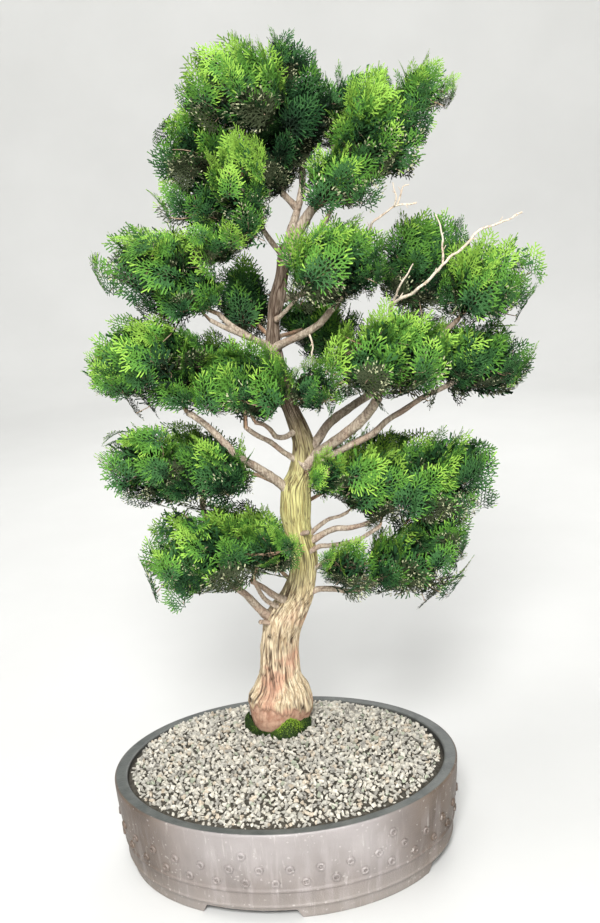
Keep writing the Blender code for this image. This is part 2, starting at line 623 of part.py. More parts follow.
def scaled(direction, lobe, share):
    """The spot in a direction from a lobe's middle, at a share of its half sizes."""
    return Vector((lobe[0] + direction.x * lobe[3] * share,
                   lobe[1] + direction.y * lobe[4] * share,
                   lobe[2] + direction.z * lobe[5] * share))


def core_shape(name, lobe):
    """The dense heart of a lobe: a lumpy ball that keeps inside the cloud's own space."""
    shape = bmesh.new()
    detail = 2 if sum(lobe[3:]) / 3 > CORE_FINE_SIZE else 1
    bmesh.ops.create_icosphere(shape, subdivisions=detail, radius=1.0)
    for vertex in shape.verts:
        direction = vertex.co.normalized()
        share = CORE_SHARE * (1.0 + CORE_LUMPS * noise.noise(direction * CORE_NOISE + Vector(lobe[:3])))
        spot = scaled(direction, lobe, share)
        while share > CORE_LEAST and not in_own_space(name, spot):
            share *= CORE_STEP
            spot = scaled(direction, lobe, share)
        vertex.co = place(*spot)
    return shape


def twig_shape(start, end, start_radius, end_radius):
    """A three-sided tapering twig from a cone primitive."""
    shape = bmesh.new()
    run = end - start
    bmesh.ops.create_cone(shape, cap_ends=True, segments=3, radius1=start_radius * MM,
                          radius2=end_radius * MM, depth=run.length * MM)
    turn = run.to_track_quat("Z", "Y").to_matrix().to_4x4()
    bmesh.ops.transform(shape, matrix=Matrix.Translation(place(*(start + run / 2))) @ turn,
                        verts=shape.verts)
    return shape


def spray_outline(length):
    """Outline of a fan-shaped spray: its root, then teeth and notches from side to side."""
    outline = [Vector((0.0, 0.0, 0.0))]
    count = 2 * SPRAY_TEETH + 1
    for i in range(count):
        angle = SPRAY_SPREAD * (2.0 * i / (count - 1) - 1.0)
        reach = length * (1.0 - SPRAY_ROUND * (angle / SPRAY_SPREAD) ** 2)
        if i % 2:
            reach *= SPRAY_NOTCH
        outline.append(Vector((reach * math.cos(angle), reach * math.sin(angle), 0.0)))
    return outline


def spray_shape(root, axis, face, length):
    """A toothed blade: a ball of two rings, drawn out to the outline and pressed flat."""
    outline = spray_outline(length)
    shape = bmesh.new()
    bmesh.ops.create_uvsphere(shape, u_segments=len(outline), v_segments=2, radius=1.0)
    rim = [vertex for vertex in shape.verts if abs(vertex.co.z) < 0.5]
    rim.sort(key=lambda vertex: math.atan2(vertex.co.y, vertex.co.x))
    for vertex, point in zip(rim, outline):
        vertex.co = point
    for vertex in shape.verts:
        if vertex not in rim:
            vertex.co = Vector((length * SPRAY_MIDDLE, 0.0, math.copysign(SPRAY_THICKNESS / 2, vertex.co.z)))
    side = face.cross(axis).normalized()
    face = axis.cross(side)
    frame = Matrix((axis, side, face)).transposed().to_4x4()
    bmesh.ops.transform(shape, matrix=Matrix.Scale(MM, 4) @ frame, verts=shape.verts)
    bmesh.ops.translate(shape, vec=place(*root), verts=shape.verts)
    bmesh.ops.recalc_face_normals(shape, faces=shape.faces)
    return shape


def table_spot(point):
    return (point.x / MM - POT_CENTRE[0], point.y / MM - POT_CENTRE[1], point.z / MM)


def fits(name, shape, obstacles):
    """True where a twig or spray stays in its cloud's space and touches no limb or cloud."""
    for vertex in shape.verts:
        if not in_own_space(name, table_spot(vertex.co)):
            return False
    tree = BVHTree.FromBMesh(shape)
    return not any(tree.overlap(obstacle) for obstacle in obstacles)


def spray_axis(direction, lobe, draw):
    """A spray leans outwards from the trunk and a little up, and its face is turned at random."""
    outward = Vector((lobe[0] - TRUNK_AXIS[0], lobe[1] - TRUNK_AXIS[1], 0.0)).normalized()
    jitter = Vector((draw.uniform(-1, 1), draw.uniform(-1, 1), draw.uniform(-1, 1)))
    axis = direction + LEAN_OUT * outward + LEAN_UP * UP + LEAN_JITTER * jitter
    axis.normalize()
    tip_x, tip_y = draw.uniform(-FACE_JITTER, FACE_JITTER), draw.uniform(-FACE_JITTER, FACE_JITTER)
    lean = UP + Vector((tip_x, tip_y, 0.0)) + FACE_OUT * direction
    face = lean - axis * lean.dot(axis)
    if face.length < 0.2:
        face = axis.orthogonal()
    return axis, face.normalized()


def add_sprays(name, lobe, pieces, obstacles, draw):
    """Sprays spread evenly over a lobe; every third one sits out on a twig of its own.

    A spray is drawn again, with another lean, until it crosses nothing, and is skipped
    where no lean fits.
    """
    size = sum(lobe[3:]) / 3
    count = max(FEWEST, round(4 * math.pi * size ** 2 / PATCH ** 2))
    middle = Vector(lobe[:3])
    made = 0
    for number, direction in enumerate(even_directions(count, draw.uniform(0, 6.28))):
        on_twig = number % TWIG_EVERY == 0
        root = scaled(direction, lobe, TWIG_ROOT_SHARE if on_twig else ROOT_SHARE)
        tip = scaled(direction, lobe, TIP_SHARE)
        for attempt in range(SPRAY_DRAWS):
            axis, face = spray_axis(direction, lobe, draw)
            length = min(max((tip - root).length, size * SPRAY_LENGTH[0]), size * SPRAY_LENGTH[1])
            spray = spray_shape(root, axis, face, length * (1.0 - SPRAY_SHRINK * attempt))
            if fits(name, spray, obstacles):
                obstacles.append(BVHTree.FromBMesh(spray))
                add_from_bmesh("spray", spray, pieces)
                made += 1
                break
            spray.free()
        else:
            continue
        if on_twig:
            twig = twig_shape(middle, root + axis * TWIG_SUNK, *TWIG_RADIUS)
            if fits(name, twig, obstacles[:-made]):
                add_from_bmesh("twig", twig, pieces)
            else:
                twig.free()
    return made


def trunk_middle(height):
    """The trunk's middle at a height."""
    for low, high in zip(TRUNK, TRUNK[1:]):
        if low[0] <= height <= high[0]:
            f = (height - low[0]) / (high[0] - low[0])
            return Vector((low[1] + (high[1] - low[1]) * f, low[2] + (high[2] - low[2]) * f, height))
    raise ValueError(height)


def make_mass(name, parts, material, cutter_of, finished):
    fed_by, lobes = MASSES[name]
    draw = random.Random(name)
    trees = {limb: mesh_tree(cutter) for limb, cutter in cutter_of.items()}
    obstacles = list(trees.values()) + finished
    mass = add_from_bmesh(name, core_shape(name, lobes[0]), parts, material)
    pieces = new_collection(name + "_pieces")
    start = Vector(LIMBS[fed_by][3][-1]) if fed_by in LIMBS else trunk_middle(fed_by)
    add_from_bmesh("stem", twig_shape(start, Vector(lobes[0][:3]), *STEM_RADIUS), pieces)
    for lobe in lobes[1:]:
        link = twig_shape(Vector(lobes[0][:3]), Vector(lobe[:3]), *STEM_RADIUS)
        add_from_bmesh("link", link, pieces)
        add_from_bmesh("core", core_shape(name, lobe), pieces)
    count = sum(add_sprays(name, lobe, pieces, obstacles, draw) for lobe in lobes)
    fuse(mass, pieces)
    bpy.data.collections.remove(pieces)
    own = mesh_tree(mass)
    for limb, cutter in cutter_of.items():
        if own.overlap(trees[limb]):
            boolean(mass, "DIFFERENCE", cutter)
    apply_modifiers(mass)
    keep_largest_body(mass)
    finished.append(mesh_tree(mass))
    faces = sum(len(face.vertices) - 2 for face in mass.data.polygons)
    print(f"{name}: {count} sprays, {faces} triangles")
    return mass


# ---------------------------------------------------------------- the whole plant

def main():
    clear_scene()
    parts = new_collection("hinoki_cypress_bonsai")
    cutters = new_collection("cutters")
    materials = {name: new_material(name) for name in COLOURS}

    make_pot(parts, cutters, materials["pot"])
    gravel = gravel_solid("gravel", 0.0, parts, materials["gravel"])
    trunk = trunk_solid("trunk", 0.0, parts, materials["trunk"])
    trunk.data.shade_smooth()
    trunk_cutter = as_cutter(trunk_solid("trunk_cutter", GAP, cutters))
    boolean(gravel, "DIFFERENCE", trunk_cutter)
    apply_modifiers(gravel)
    make_moss(parts, cutters, materials["moss"], trunk_cutter)

    cutter_of = {"trunk": trunk_cutter}
    for name in LIMBS:
        make_limb(name, parts, cutters, materials, cutter_of)
    finished = []
    for name in MASSES:
        make_mass(name, parts, materials["foliage"], cutter_of, finished)


main()
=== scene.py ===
# %% [markdown]
# # A hinoki cypress bonsai in an oval pot
# An old little tree with a bare, gently curved trunk, slender boughs and clouds of flat leaf
# sprays, in a shallow unglazed pot topped with angular grit. The exact model gives every place
# and size. This script dresses it: each solid is replaced by a finer piece in the same space.
# Everything is in metres, with Z up.

# %% Load the exact model
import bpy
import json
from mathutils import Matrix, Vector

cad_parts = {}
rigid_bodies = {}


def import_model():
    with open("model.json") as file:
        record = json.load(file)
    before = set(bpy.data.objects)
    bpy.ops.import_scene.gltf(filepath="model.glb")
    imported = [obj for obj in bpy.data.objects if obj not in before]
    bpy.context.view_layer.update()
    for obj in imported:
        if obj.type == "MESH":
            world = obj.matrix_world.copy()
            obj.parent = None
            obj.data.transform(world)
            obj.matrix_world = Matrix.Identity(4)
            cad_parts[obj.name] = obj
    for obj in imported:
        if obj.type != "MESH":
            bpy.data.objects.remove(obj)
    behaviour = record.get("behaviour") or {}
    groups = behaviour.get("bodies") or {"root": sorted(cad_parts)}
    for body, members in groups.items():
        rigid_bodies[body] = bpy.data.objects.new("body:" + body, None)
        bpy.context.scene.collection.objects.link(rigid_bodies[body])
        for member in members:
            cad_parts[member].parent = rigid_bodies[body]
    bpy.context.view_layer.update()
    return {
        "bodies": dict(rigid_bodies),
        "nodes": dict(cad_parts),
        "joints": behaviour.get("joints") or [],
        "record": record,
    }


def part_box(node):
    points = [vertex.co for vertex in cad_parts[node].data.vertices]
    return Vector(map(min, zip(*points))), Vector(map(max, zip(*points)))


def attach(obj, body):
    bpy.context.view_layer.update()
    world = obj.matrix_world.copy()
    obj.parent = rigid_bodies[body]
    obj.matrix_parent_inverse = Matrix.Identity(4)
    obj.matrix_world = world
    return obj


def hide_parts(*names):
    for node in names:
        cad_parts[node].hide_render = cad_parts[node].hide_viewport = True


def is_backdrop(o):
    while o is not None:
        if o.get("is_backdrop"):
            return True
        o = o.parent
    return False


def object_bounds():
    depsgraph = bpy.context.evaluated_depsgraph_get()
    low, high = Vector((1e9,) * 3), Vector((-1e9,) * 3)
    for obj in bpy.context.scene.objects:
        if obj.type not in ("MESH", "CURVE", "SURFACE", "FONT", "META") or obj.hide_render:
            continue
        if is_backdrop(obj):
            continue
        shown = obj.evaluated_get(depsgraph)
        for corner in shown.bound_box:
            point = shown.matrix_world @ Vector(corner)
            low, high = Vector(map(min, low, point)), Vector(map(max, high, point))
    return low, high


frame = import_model()

# %% The tools used below
import json
import math

import bmesh
import bpy
import numpy as np
from mathutils import Matrix, Vector, noise

MM = 0.001
FOLIAGE = sorted(name for name in frame["nodes"] if name.startswith("foliage"))
print(len(frame["nodes"]), "nodes,", len(FOLIAGE), "of them foliage")

# %% [markdown]
# ## Measures
# All tables are in millimetres from the middle of the pot and from the floor, because a grower
# measures a bonsai from its pot. One small function turns such a spot into the model's metres.

# %% From table to model
pot_low, pot_high = (np.array(corner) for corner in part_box("pot"))
POT_MIDDLE = (pot_low + pot_high) / 2
POT_MIDDLE[2] = 0.0


def spot(points):
    """Table points in millimetres, as points of the model in metres."""
    return np.asarray(points, dtype=float) * MM + POT_MIDDLE


def xyz(x, y, z):
    """Points from three arrays or numbers."""
    return np.stack(np.broadcast_arrays(x, y, z), axis=-1)


def unit(vectors):
    """The same directions, each one long."""
    return vectors / np.linalg.norm(vectors, axis=-1, keepdims=True)


def full_turn(steps):
    """Even angles once around, in radians."""
    return np.linspace(0, 2 * math.pi, steps, endpoint=False)


print("pot middle:", POT_MIDDLE.round(4))

# %% Put a piece together
def add_object(name, data):
    """An object in the scene."""
    made = bpy.data.objects.new(name, data)
    bpy.context.scene.collection.objects.link(made)
    return made


def mesh_object(name, points, faces, material, smooth=True):
    """A mesh from points in metres and faces that all have the same number of corners."""
    points = np.reshape(points, (-1, 3))
    mesh = bpy.data.meshes.new(name)
    mesh.vertices.add(len(points))
    mesh.vertices.foreach_set("co", np.asarray(points, dtype=np.float32).ravel())
    mesh.loops.add(faces.size)
    mesh.loops.foreach_set("vertex_index", faces.astype(np.int32).ravel())
    mesh.polygons.add(len(faces))
    mesh.polygons.foreach_set("loop_start", np.arange(0, faces.size, faces.shape[1], dtype=np.int32))
    mesh.update(calc_edges=True)
    mesh.polygons.foreach_set("use_smooth", np.full(len(faces), smooth))
    mesh.materials.append(material)
    return add_object(name, mesh)


def fit_out(piece, slot, *nodes):
    """The piece moves with the plant and stands for the named solids. The slot is not used."""
    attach(piece, "root")
    if nodes:
        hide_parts(*nodes)
    triangles = sum(len(face.vertices) - 2 for face in piece.data.polygons)
    print(f"{piece.name}: {triangles} triangles")


def new_piece(name, points, faces, material, slot, *nodes, smooth=True):
    """A piece of the plant from points in table millimetres. Without faces, each row is one."""
    if faces is None:
        faces = np.arange(points.size // 3).reshape(points.shape[:2])
    piece = mesh_object(name, spot(points), faces, material, smooth)
    fit_out(piece, slot, *nodes)
    return piece


print("new pieces join:", bpy.context.scene.collection.name)


# %% Faces of tubes, copies and joined parts
def ring_faces(rows, around):
    """Quads that join rows of points, each row going once around."""
    row = np.arange(rows - 1)[:, None] * around
    column = np.arange(around)[None, :]
    after = (column + 1) % around
    return np.stack([row + column, row + after, row + around + after, row + around + column],
                    axis=-1).reshape(-1, 4)


def copied(faces, count, corners):
    """The faces of several copies of a shape that lie one after another."""
    return (faces[None] + (np.arange(count) * corners)[:, None, None]).reshape(-1, faces.shape[1])


def joined(parts):
    """Points and faces of several parts as one mesh."""
    starts = np.cumsum([0] + [len(points) for points, _ in parts])
    return (np.concatenate([points for points, _ in parts]),
            np.concatenate([faces + start for (_, faces), start in zip(parts, starts)]))


def ring_part(rings):
    """Points and faces of one tube or mat, from its rings of points."""
    return np.reshape(rings, (-1, 3)), ring_faces(*np.shape(rings)[:2])


print("a tube of 3 rings of 8 points has", len(ring_faces(3, 8)), "quads")

# %% [markdown]
# ## Lumps and wrinkles
# Nothing on a plant is smooth. Bark, moss, grit and the hand-made pot all need soft random lumps
# that come out the same on each run. A gradient noise, worked out for whole arrays of points at
# once, gives them, because one call per point would be slow.

# %% Gradient noise for arrays
dice = np.random.default_rng(7)
HASH = dice.permutation(256)
SLOPES = unit(dice.normal(size=(256, 3)))


def lumps(points):
    """Soft noise between about -1 and 1, with one cell per unit."""
    cell = np.floor(points).astype(int)
    inside = points - cell
    ease = inside ** 3 * (inside * (inside * 6 - 15) + 10)
    total = np.zeros(len(points))
    for corner in np.ndindex(2, 2, 2):
        at = (cell + corner) & 255
        slope = SLOPES[HASH[(HASH[(HASH[at[:, 0]] + at[:, 1]) & 255] + at[:, 2]) & 255]]
        weight = np.prod(np.where(corner, ease, 1 - ease), axis=1)
        total += weight * np.sum(slope * (inside - corner), axis=1)
    return total * 1.6


def ramp(value, low, high):
    """0 below low, 1 above high and an even curve between."""
    share = np.clip((value - low) / (high - low), 0, 1)
    return share * share * (3 - 2 * share)


print("noise reaches", np.abs(lumps(dice.uniform(0, 40, (4000, 3)))).max().round(2))

# %% [markdown]
# ## Shared finish effects
# Three effects return in most finishes, so each is a node group that is built once. *Mottle*
# mixes two colours in soft blotches. *Fibres* draws long upright streaks, for bark, bare wood
# and the run marks on the pot. *Specks* scatters small grains. Each group puts out a colour or
# a mask, and the shader itself stays in the finish.

# %% A short way to add nodes
class Net:
    """A node tree. Most of its methods add a node and give back what it puts out."""

    def __init__(self, tree):
        self.tree = tree

    def plug(self, socket, value):
        """Links a socket to another one, or sets its value. A plain colour comes without alpha."""
        if isinstance(value, bpy.types.NodeSocket):
            self.tree.links.new(value, socket)
        else:
            socket.default_value = (*value, 1) if socket.type == "RGBA" else value

    def add(self, kind, inputs, **settings):
        made = self.tree.nodes.new("ShaderNode" + kind)
        for name, value in settings.items():
            setattr(made, name, value)
        for name, value in inputs.items():
            self.plug(made.inputs[name], value)
        return made.outputs

    def place(self, group, **inputs):
        """Places a shared effect, with its own values."""
        return self.add("Group", {name.replace("_", " "): value for name, value in inputs.items()},
                        node_tree=group)

    def here(self):
        return self.add("TexCoord", {})["Object"]

    def maths(self, operation, first, second=0.0):
        return self.add("Math", {0: first, 1: second}, operation=operation)[0]

    def move(self, operation, first, second):
        return self.add("VectorMath", {0: first, 1: second}, operation=operation)[0]

    def step(self, value, low, high):
        """A mask that goes softly from 0 to 1 between two values."""
        return self.add("MapRange", {"Value": value, "From Min": low, "From Max": high},
                        interpolation_type="SMOOTHSTEP")["Result"]

    def height(self, low, high):
        """A mask that goes softly from 0 to 1 between two heights in metres."""
        return self.step(self.add("SeparateXYZ", {0: self.here()})["Z"], low, high)

    def tint(self, colour, other, mask, most=1.0, blend_type="MIX"):
        """Mixes another colour in where the mask is high, up to a share."""
        mask = mask if most == 1 else self.maths("MULTIPLY", mask, most)
        return self.add("Mix", {"Factor": mask, 6: colour, 7: other}, data_type="RGBA",
                        blend_type=blend_type)[2]


print("short ways:", [name for name in vars(Net) if not name.startswith("_")])


# %% A shader group
class Group(Net):
    """A shader group, from the names and usual values of its inputs and the names it puts out."""

    def __init__(self, name, inputs, outputs):
        super().__init__(bpy.data.node_groups.new(name, "ShaderNodeTree"))
        for title, value in {**inputs, **dict.fromkeys(outputs)}.items():
            kind = "NodeSocketColor" if title.startswith("Colour") else "NodeSocketFloat"
            way = "INPUT" if title in inputs else "OUTPUT"
            socket = self.tree.interface.new_socket(title, in_out=way, socket_type=kind)
            if title in inputs:
                socket.default_value = value
        self.take = self.tree.nodes.new("NodeGroupInput").outputs
        self.give = self.tree.nodes.new("NodeGroupOutput").inputs

    def band(self, value):
        """A mask from a noise, around the group's Balance and as soft as its Softness."""
        low, high = (self.maths(way, self.take["Balance"], self.take["Softness"])
                     for way in ("SUBTRACT", "ADD"))
        return self.step(value, low, high)


print("a group adds:", [name for name in vars(Group) if not name.startswith("_")])

# %% Mottle: two colours in soft blotches
g = Group("mottle", {"Colour A": (0, 0, 0, 1), "Colour B": (1, 1, 1, 1), "Size": 20.0, "Balance": 0.5,
                     "Softness": 0.2}, ["Colour", "Mask"])
blotch = g.add("TexNoise", {"Vector": g.here(), "Scale": g.take["Size"], "Detail": 5.0, "Roughness": 0.55})
mask = g.band(blotch["Fac"])
g.plug(g.give["Colour"], g.tint(g.take["Colour A"], g.take["Colour B"], mask))
g.plug(g.give["Mask"], mask)
mottle = g.tree
print("mottle:", len(mottle.nodes), "nodes")

# %% Fibres: long upright streaks
g = Group("fibres", {"Across": 300.0, "Along": 25.0, "Balance": 0.5, "Softness": 0.12}, ["Mask"])
scale = g.add("CombineXYZ", {0: g.take["Across"], 1: g.take["Across"], 2: g.take["Along"]})[0]
streak = g.add("TexNoise", {"Vector": g.move("MULTIPLY", g.here(), scale), "Scale": 1.0, "Detail": 4.0,
                            "Roughness": 0.6, "Distortion": 0.4})
g.plug(g.give["Mask"], g.band(streak["Fac"]))
fibres = g.tree
print("fibres:", len(fibres.nodes), "nodes")

# %% Specks: small scattered grains
g = Group("specks", {"Size": 900.0, "Amount": 0.2}, ["Mask", "Height"])
grain = g.add("TexVoronoi", {"Vector": g.here(), "Scale": g.take["Size"]})
dealt = g.add("SeparateColor", {0: grain["Color"]})[0]
g.plug(g.give["Mask"], g.maths("LESS_THAN", dealt, g.take["Amount"]))
g.plug(g.give["Height"], grain["Distance"])
specks = g.tree
print("specks:", len(specks.nodes), "nodes")


# %% Start a finish
class Finish(Net):
    """A material with its tree and its shader's sockets."""

    def __init__(self, name, roughness, specular):
        self.material = bpy.data.materials.new(name)
        self.material.use_nodes = True
        super().__init__(self.material.node_tree)
        self.shader = self.tree.nodes["Principled BSDF"].inputs
        self.plug(self.shader["Roughness"], roughness)
        self.plug(self.shader["Specular IOR Level"], specular)

    def wear(self, colour, height, distance, strength):
        """Gives the shader its colour, and a relief through a bump. Returns the material."""
        bump = self.add("Bump", {"Height": height, "Distance": distance, "Strength": strength})
        self.plug(self.shader["Base Color"], colour)
        self.plug(self.shader["Normal"], bump["Normal"])
        return self.material


print("a finish adds:", [name for name in vars(Finish) if not name.startswith("_")])

# %% [markdown]
# ## The pot
# An unglazed stoneware tub, 406 by 320 mm and 110 mm high, with a flat rim, a wall that leans in
# a little towards the foot, two raised lines round the lower wall, and a foot ring with four low
# arches that let water out. One outline turned about the middle and squeezed to the oval gives
# all of it, and the arches are cut afterwards.

# %% Outline of the pot
POT_LENGTH, POT_DEPTH, POT_HEIGHT = 406.0, 320.0, 110.0
OVAL = POT_DEPTH / POT_LENGTH
RIM_WIDTH = 15.5
POT_STEPS = 288
# Distance in from the widest edge, and height.
POT_OUTLINE = np.array([
    (15.5, 30), (15.5, 90), (15.5, 107.6), (15.2, 109.0), (14.2, 109.8), (12.8, 110), (3.2, 110),
    (1.6, 109.8), (0.6, 109.1), (0.1, 108.0), (0.0, 106), (0.3, 98), (0.9, 88), (1.8, 77), (2.9, 66),
    (4.1, 55), (5.2, 46), (5.9, 41.5), (5.9, 40.4), (5.3, 39.4), (4.8, 38.2), (4.9, 36.9), (5.6, 35.8),
    (6.8, 35.0), (7.1, 34.0), (7.3, 31), (7.9, 25), (8.3, 20.6), (8.2, 19.6), (7.5, 18.6), (7.2, 17.4),
    (7.6, 16.3), (8.9, 15.3), (10.3, 14.5), (11.1, 13.4), (11.7, 8), (12.4, 2.0), (12.9, 0.6), (13.8, 0),
    (22.6, 0), (23.8, 0.7), (24.6, 5), (25, 13)])
WALL = slice(9, 18)                              # the rows of the outer wall above the raised lines
turned = (POT_LENGTH / 2 - POT_OUTLINE[:, :1], POT_OUTLINE[:, 1:])
rows = xyz(turned[0] * np.cos(full_turn(POT_STEPS)), turned[0] * np.sin(full_turn(POT_STEPS)) * OVAL,
           turned[1])
print("pot rows:", rows.shape)

# %% [markdown]
# The wall gets the slight waviness of a hand-finished pot, a few tenths of a millimetre, before
# it is closed. A cut needs a closed body, so the inside floor and the underside are closed too.

# %% Body of the pot
WALL_FOOT, WALL_TOP, INNER_WALL = 4, 106, 189    # only the outer wall is wavy
flat = rows.reshape(-1, 3)
from_middle = np.hypot(flat[:, 0], flat[:, 1] / OVAL)
wave = lumps(flat / (60, 60, 30)) * 0.35 + lumps(flat / (9, 9, 14)) * 0.08
on_wall = (flat[:, 2] > WALL_FOOT) & (flat[:, 2] < WALL_TOP) & (from_middle > INNER_WALL)
flat = flat - unit(flat * (1, 1, 0)) * np.abs(wave * on_wall)[:, None]
pot_mesh = bmesh.new()
corners = [pot_mesh.verts.new(point) for point in spot(flat)]
for quad in ring_faces(len(rows), POT_STEPS):
    pot_mesh.faces.new([corners[i] for i in quad[::-1]])
pot_mesh.faces.new(corners[:POT_STEPS])
pot_mesh.faces.new(corners[:-POT_STEPS - 1:-1])
bmesh.ops.recalc_face_normals(pot_mesh, faces=pot_mesh.faces)
print("pot volume in litres:", round(pot_mesh.calc_volume(signed=True) * 1000, 2))

# %% [markdown]
# ## The pot's finish
# The clay is grey with a touch of mauve, and browner at the ends and towards the foot, where
# painted shade darkens it as well. Lime and dust from watering leave pale upright run marks, the
# foot is dustier, and the rim's flat top is darker where it stays damp, with a thin worn edge. The
# run marks use the fibres group, with the streaks stretched downwards.

# %% Stoneware
pot = Finish("grey_mauve_stoneware", 0.46, 0.5)
clay = pot.place(mottle, Colour_A=(0.235, 0.212, 0.203), Colour_B=(0.300, 0.275, 0.268), Size=14.0)
# Painted shade: the ends and the foot are darkened the way frontal light leaves them, together with a browner
# clay.
end_clay_and_shade = pot.place(mottle, Colour_A=(0.068, 0.046, 0.032), Colour_B=(0.125, 0.089, 0.064), Size=26.0,
                     Softness=0.25)
off_middle = pot.move("SUBTRACT", pot.here(), tuple(POT_MIDDLE))
sideways = pot.maths("ABSOLUTE", pot.add("SeparateXYZ", {0: off_middle})["X"])
browner_and_shaded = pot.maths("MAXIMUM", pot.step(sideways, 0.070, 0.178),
                    pot.maths("MULTIPLY", pot.height(0.095, 0.030), 0.45))
colour = pot.tint(clay["Colour"], end_clay_and_shade["Colour"], browner_and_shaded)
run_marks = pot.maths("MULTIPLY", pot.place(fibres, Across=75.0, Along=7.0, Balance=0.60)["Mask"], 0.30)
colour = pot.tint(colour, (0.40, 0.365, 0.355), pot.maths("MULTIPLY", run_marks, pot.height(0.105, 0.080)))
chalk = pot.place(fibres, Across=240.0, Along=34.0, Balance=0.66, Softness=0.08)
colour = pot.tint(colour, (0.50, 0.47, 0.44), chalk["Mask"], 0.35)
colour = pot.tint(colour, (0.30, 0.27, 0.24), pot.height(0.045, 0.004), 0.35)
flecks = pot.place(specks, Size=520.0, Amount=0.014)
colour = pot.tint(colour, (0.46, 0.43, 0.40), flecks["Mask"], 0.4)
print("stoneware so far:", len(pot.tree.nodes), "nodes")

# %% The dark rim top, its worn edge and painted shade inside the rim
round_pot = pot.move("MULTIPLY", off_middle, (1, 1 / OVAL, 0))
radius = pot.add("VectorMath", {0: round_pot}, operation="LENGTH")["Value"]
on_top = pot.maths("MULTIPLY", pot.height(0.1085, 0.1096), pot.step(radius, 0.2022, 0.2002))
rim_top = pot.place(mottle, Colour_A=(0.050, 0.056, 0.052), Colour_B=(0.088, 0.094, 0.086), Size=60.0)
colour = pot.tint(colour, rim_top["Colour"], on_top)
# Painted shade: everything within the rim's inner edge, such as the inner wall above the grit and the
# underside, is darkened to near black.
colour = pot.tint(colour, (0.055, 0.056, 0.052), pot.step(radius, 0.1885, 0.1879))
stoneware = pot.wear(colour, pot.maths("ADD", flecks["Height"], clay["Mask"]), 0.0004, 0.5)
print("stoneware:", len(pot.tree.nodes), "nodes")

# %% Cut the four arches
ARCH_LENGTH, ARCH_HEIGHT, ARCH_SLOPE = 108.0, 11.5, 7.0
ARCH_TURN = math.radians(-14)
ARCH_DEPTH, ARCH_BELOW = 60.0, 2.0               # a cutting block's thickness, and how far down it goes
SHARP_EDGE = math.radians(38)                    # a steeper edge than this stays crisp
FOOT_INSET = 18.5                                # the foot ring's middle, in from the widest edge


def shape_object(name, shape):
    """An object from a bmesh."""
    mesh = bpy.data.meshes.new(name)
    shape.to_mesh(mesh)
    shape.free()
    return add_object(name, mesh)


pot_body = shape_object("pot_body", pot_mesh)
pot_body.data.materials.append(stoneware)
cutters = []
for quarter in range(4):
    turn = -math.pi / 2 + ARCH_TURN + quarter * math.pi / 2
    block = bmesh.new()
    bmesh.ops.create_cube(block, size=1.0)
    for corner in block.verts:
        low = corner.co.z < 0
        corner.co.x *= (ARCH_LENGTH + (ARCH_SLOPE if low else -ARCH_SLOPE)) * MM
        corner.co.y *= ARCH_DEPTH * MM
        corner.co.z = (-ARCH_BELOW if low else ARCH_HEIGHT) * MM
    long_side = POT_LENGTH / 2 - FOOT_INSET
    short_side = long_side * OVAL
    x, y = long_side * math.cos(turn), short_side * math.sin(turn)
    lean = math.atan2(y / short_side ** 2, x / long_side ** 2) + math.pi / 2
    block.transform(Matrix.Translation(Vector(spot((x, y, 0)))) @ Matrix.Rotation(lean, 4, "Z"))
    cutters.append(shape_object("arch_block", block))
    cut = pot_body.modifiers.new("arch", "BOOLEAN")
    cut.operation, cut.solver, cut.object = "DIFFERENCE", "EXACT", cutters[-1]
graph = bpy.context.evaluated_depsgraph_get()
cut_mesh = bpy.data.meshes.new_from_object(pot_body.evaluated_get(graph))
pot_body.modifiers.clear()
pot_body.data = cut_mesh
for cutter in cutters:
    bpy.data.objects.remove(cutter, do_unlink=True)
pot_body.data.shade_smooth()
pot_body.data.set_sharp_from_angle(angle=SHARP_EDGE)
fit_out(pot_body, "pot", "pot")

# %% [markdown]
# ## The ring studs
# Two staggered rows of small raised rings run round the wall, as on a drum, pressed on before
# firing. Each is a flattened ring that sinks halfway into the wall. Equal steps along the oval's
# edge, not equal angles, keep the spacing even at the pointed ends.

# %% Places along the oval
STUD_ROWS = ((66.0, 281.0), (49.0, 297.6))       # height, and where along the oval one stud sits
STUDS_PER_ROW = 34
LONE_STUDS = ((83.5, 230.3), (86.0, 397.5))
STUD_OVAL = 199                                  # half the length of the oval that the studs follow
fine = np.linspace(-math.pi, math.pi, 4001)
steps = np.hypot(STUD_OVAL * np.sin(fine), STUD_OVAL * OVAL * np.cos(fine)) * (fine[1] - fine[0])
run = np.concatenate([[0], np.cumsum((steps[1:] + steps[:-1]) / 2)])


def on_the_wall(height, place):
    """A point of the wall, the direction out of it and the direction along it."""
    angle = float(np.interp(place % run[-1], run, fine))
    inset = float(np.interp(-height, -POT_OUTLINE[WALL, 1], POT_OUTLINE[WALL, 0]))
    long_side = POT_LENGTH / 2 - inset
    point = np.array([long_side * math.cos(angle), long_side * OVAL * math.sin(angle), height])
    out = unit(np.array([math.cos(angle) / long_side, math.sin(angle) / (long_side * OVAL), 0.0]))
    return point, out, np.cross((0, 0, 1), out)


print("oval edge:", round(run[-1], 1), "mm, stud spacing", round(run[-1] / STUDS_PER_ROW, 1), "mm")

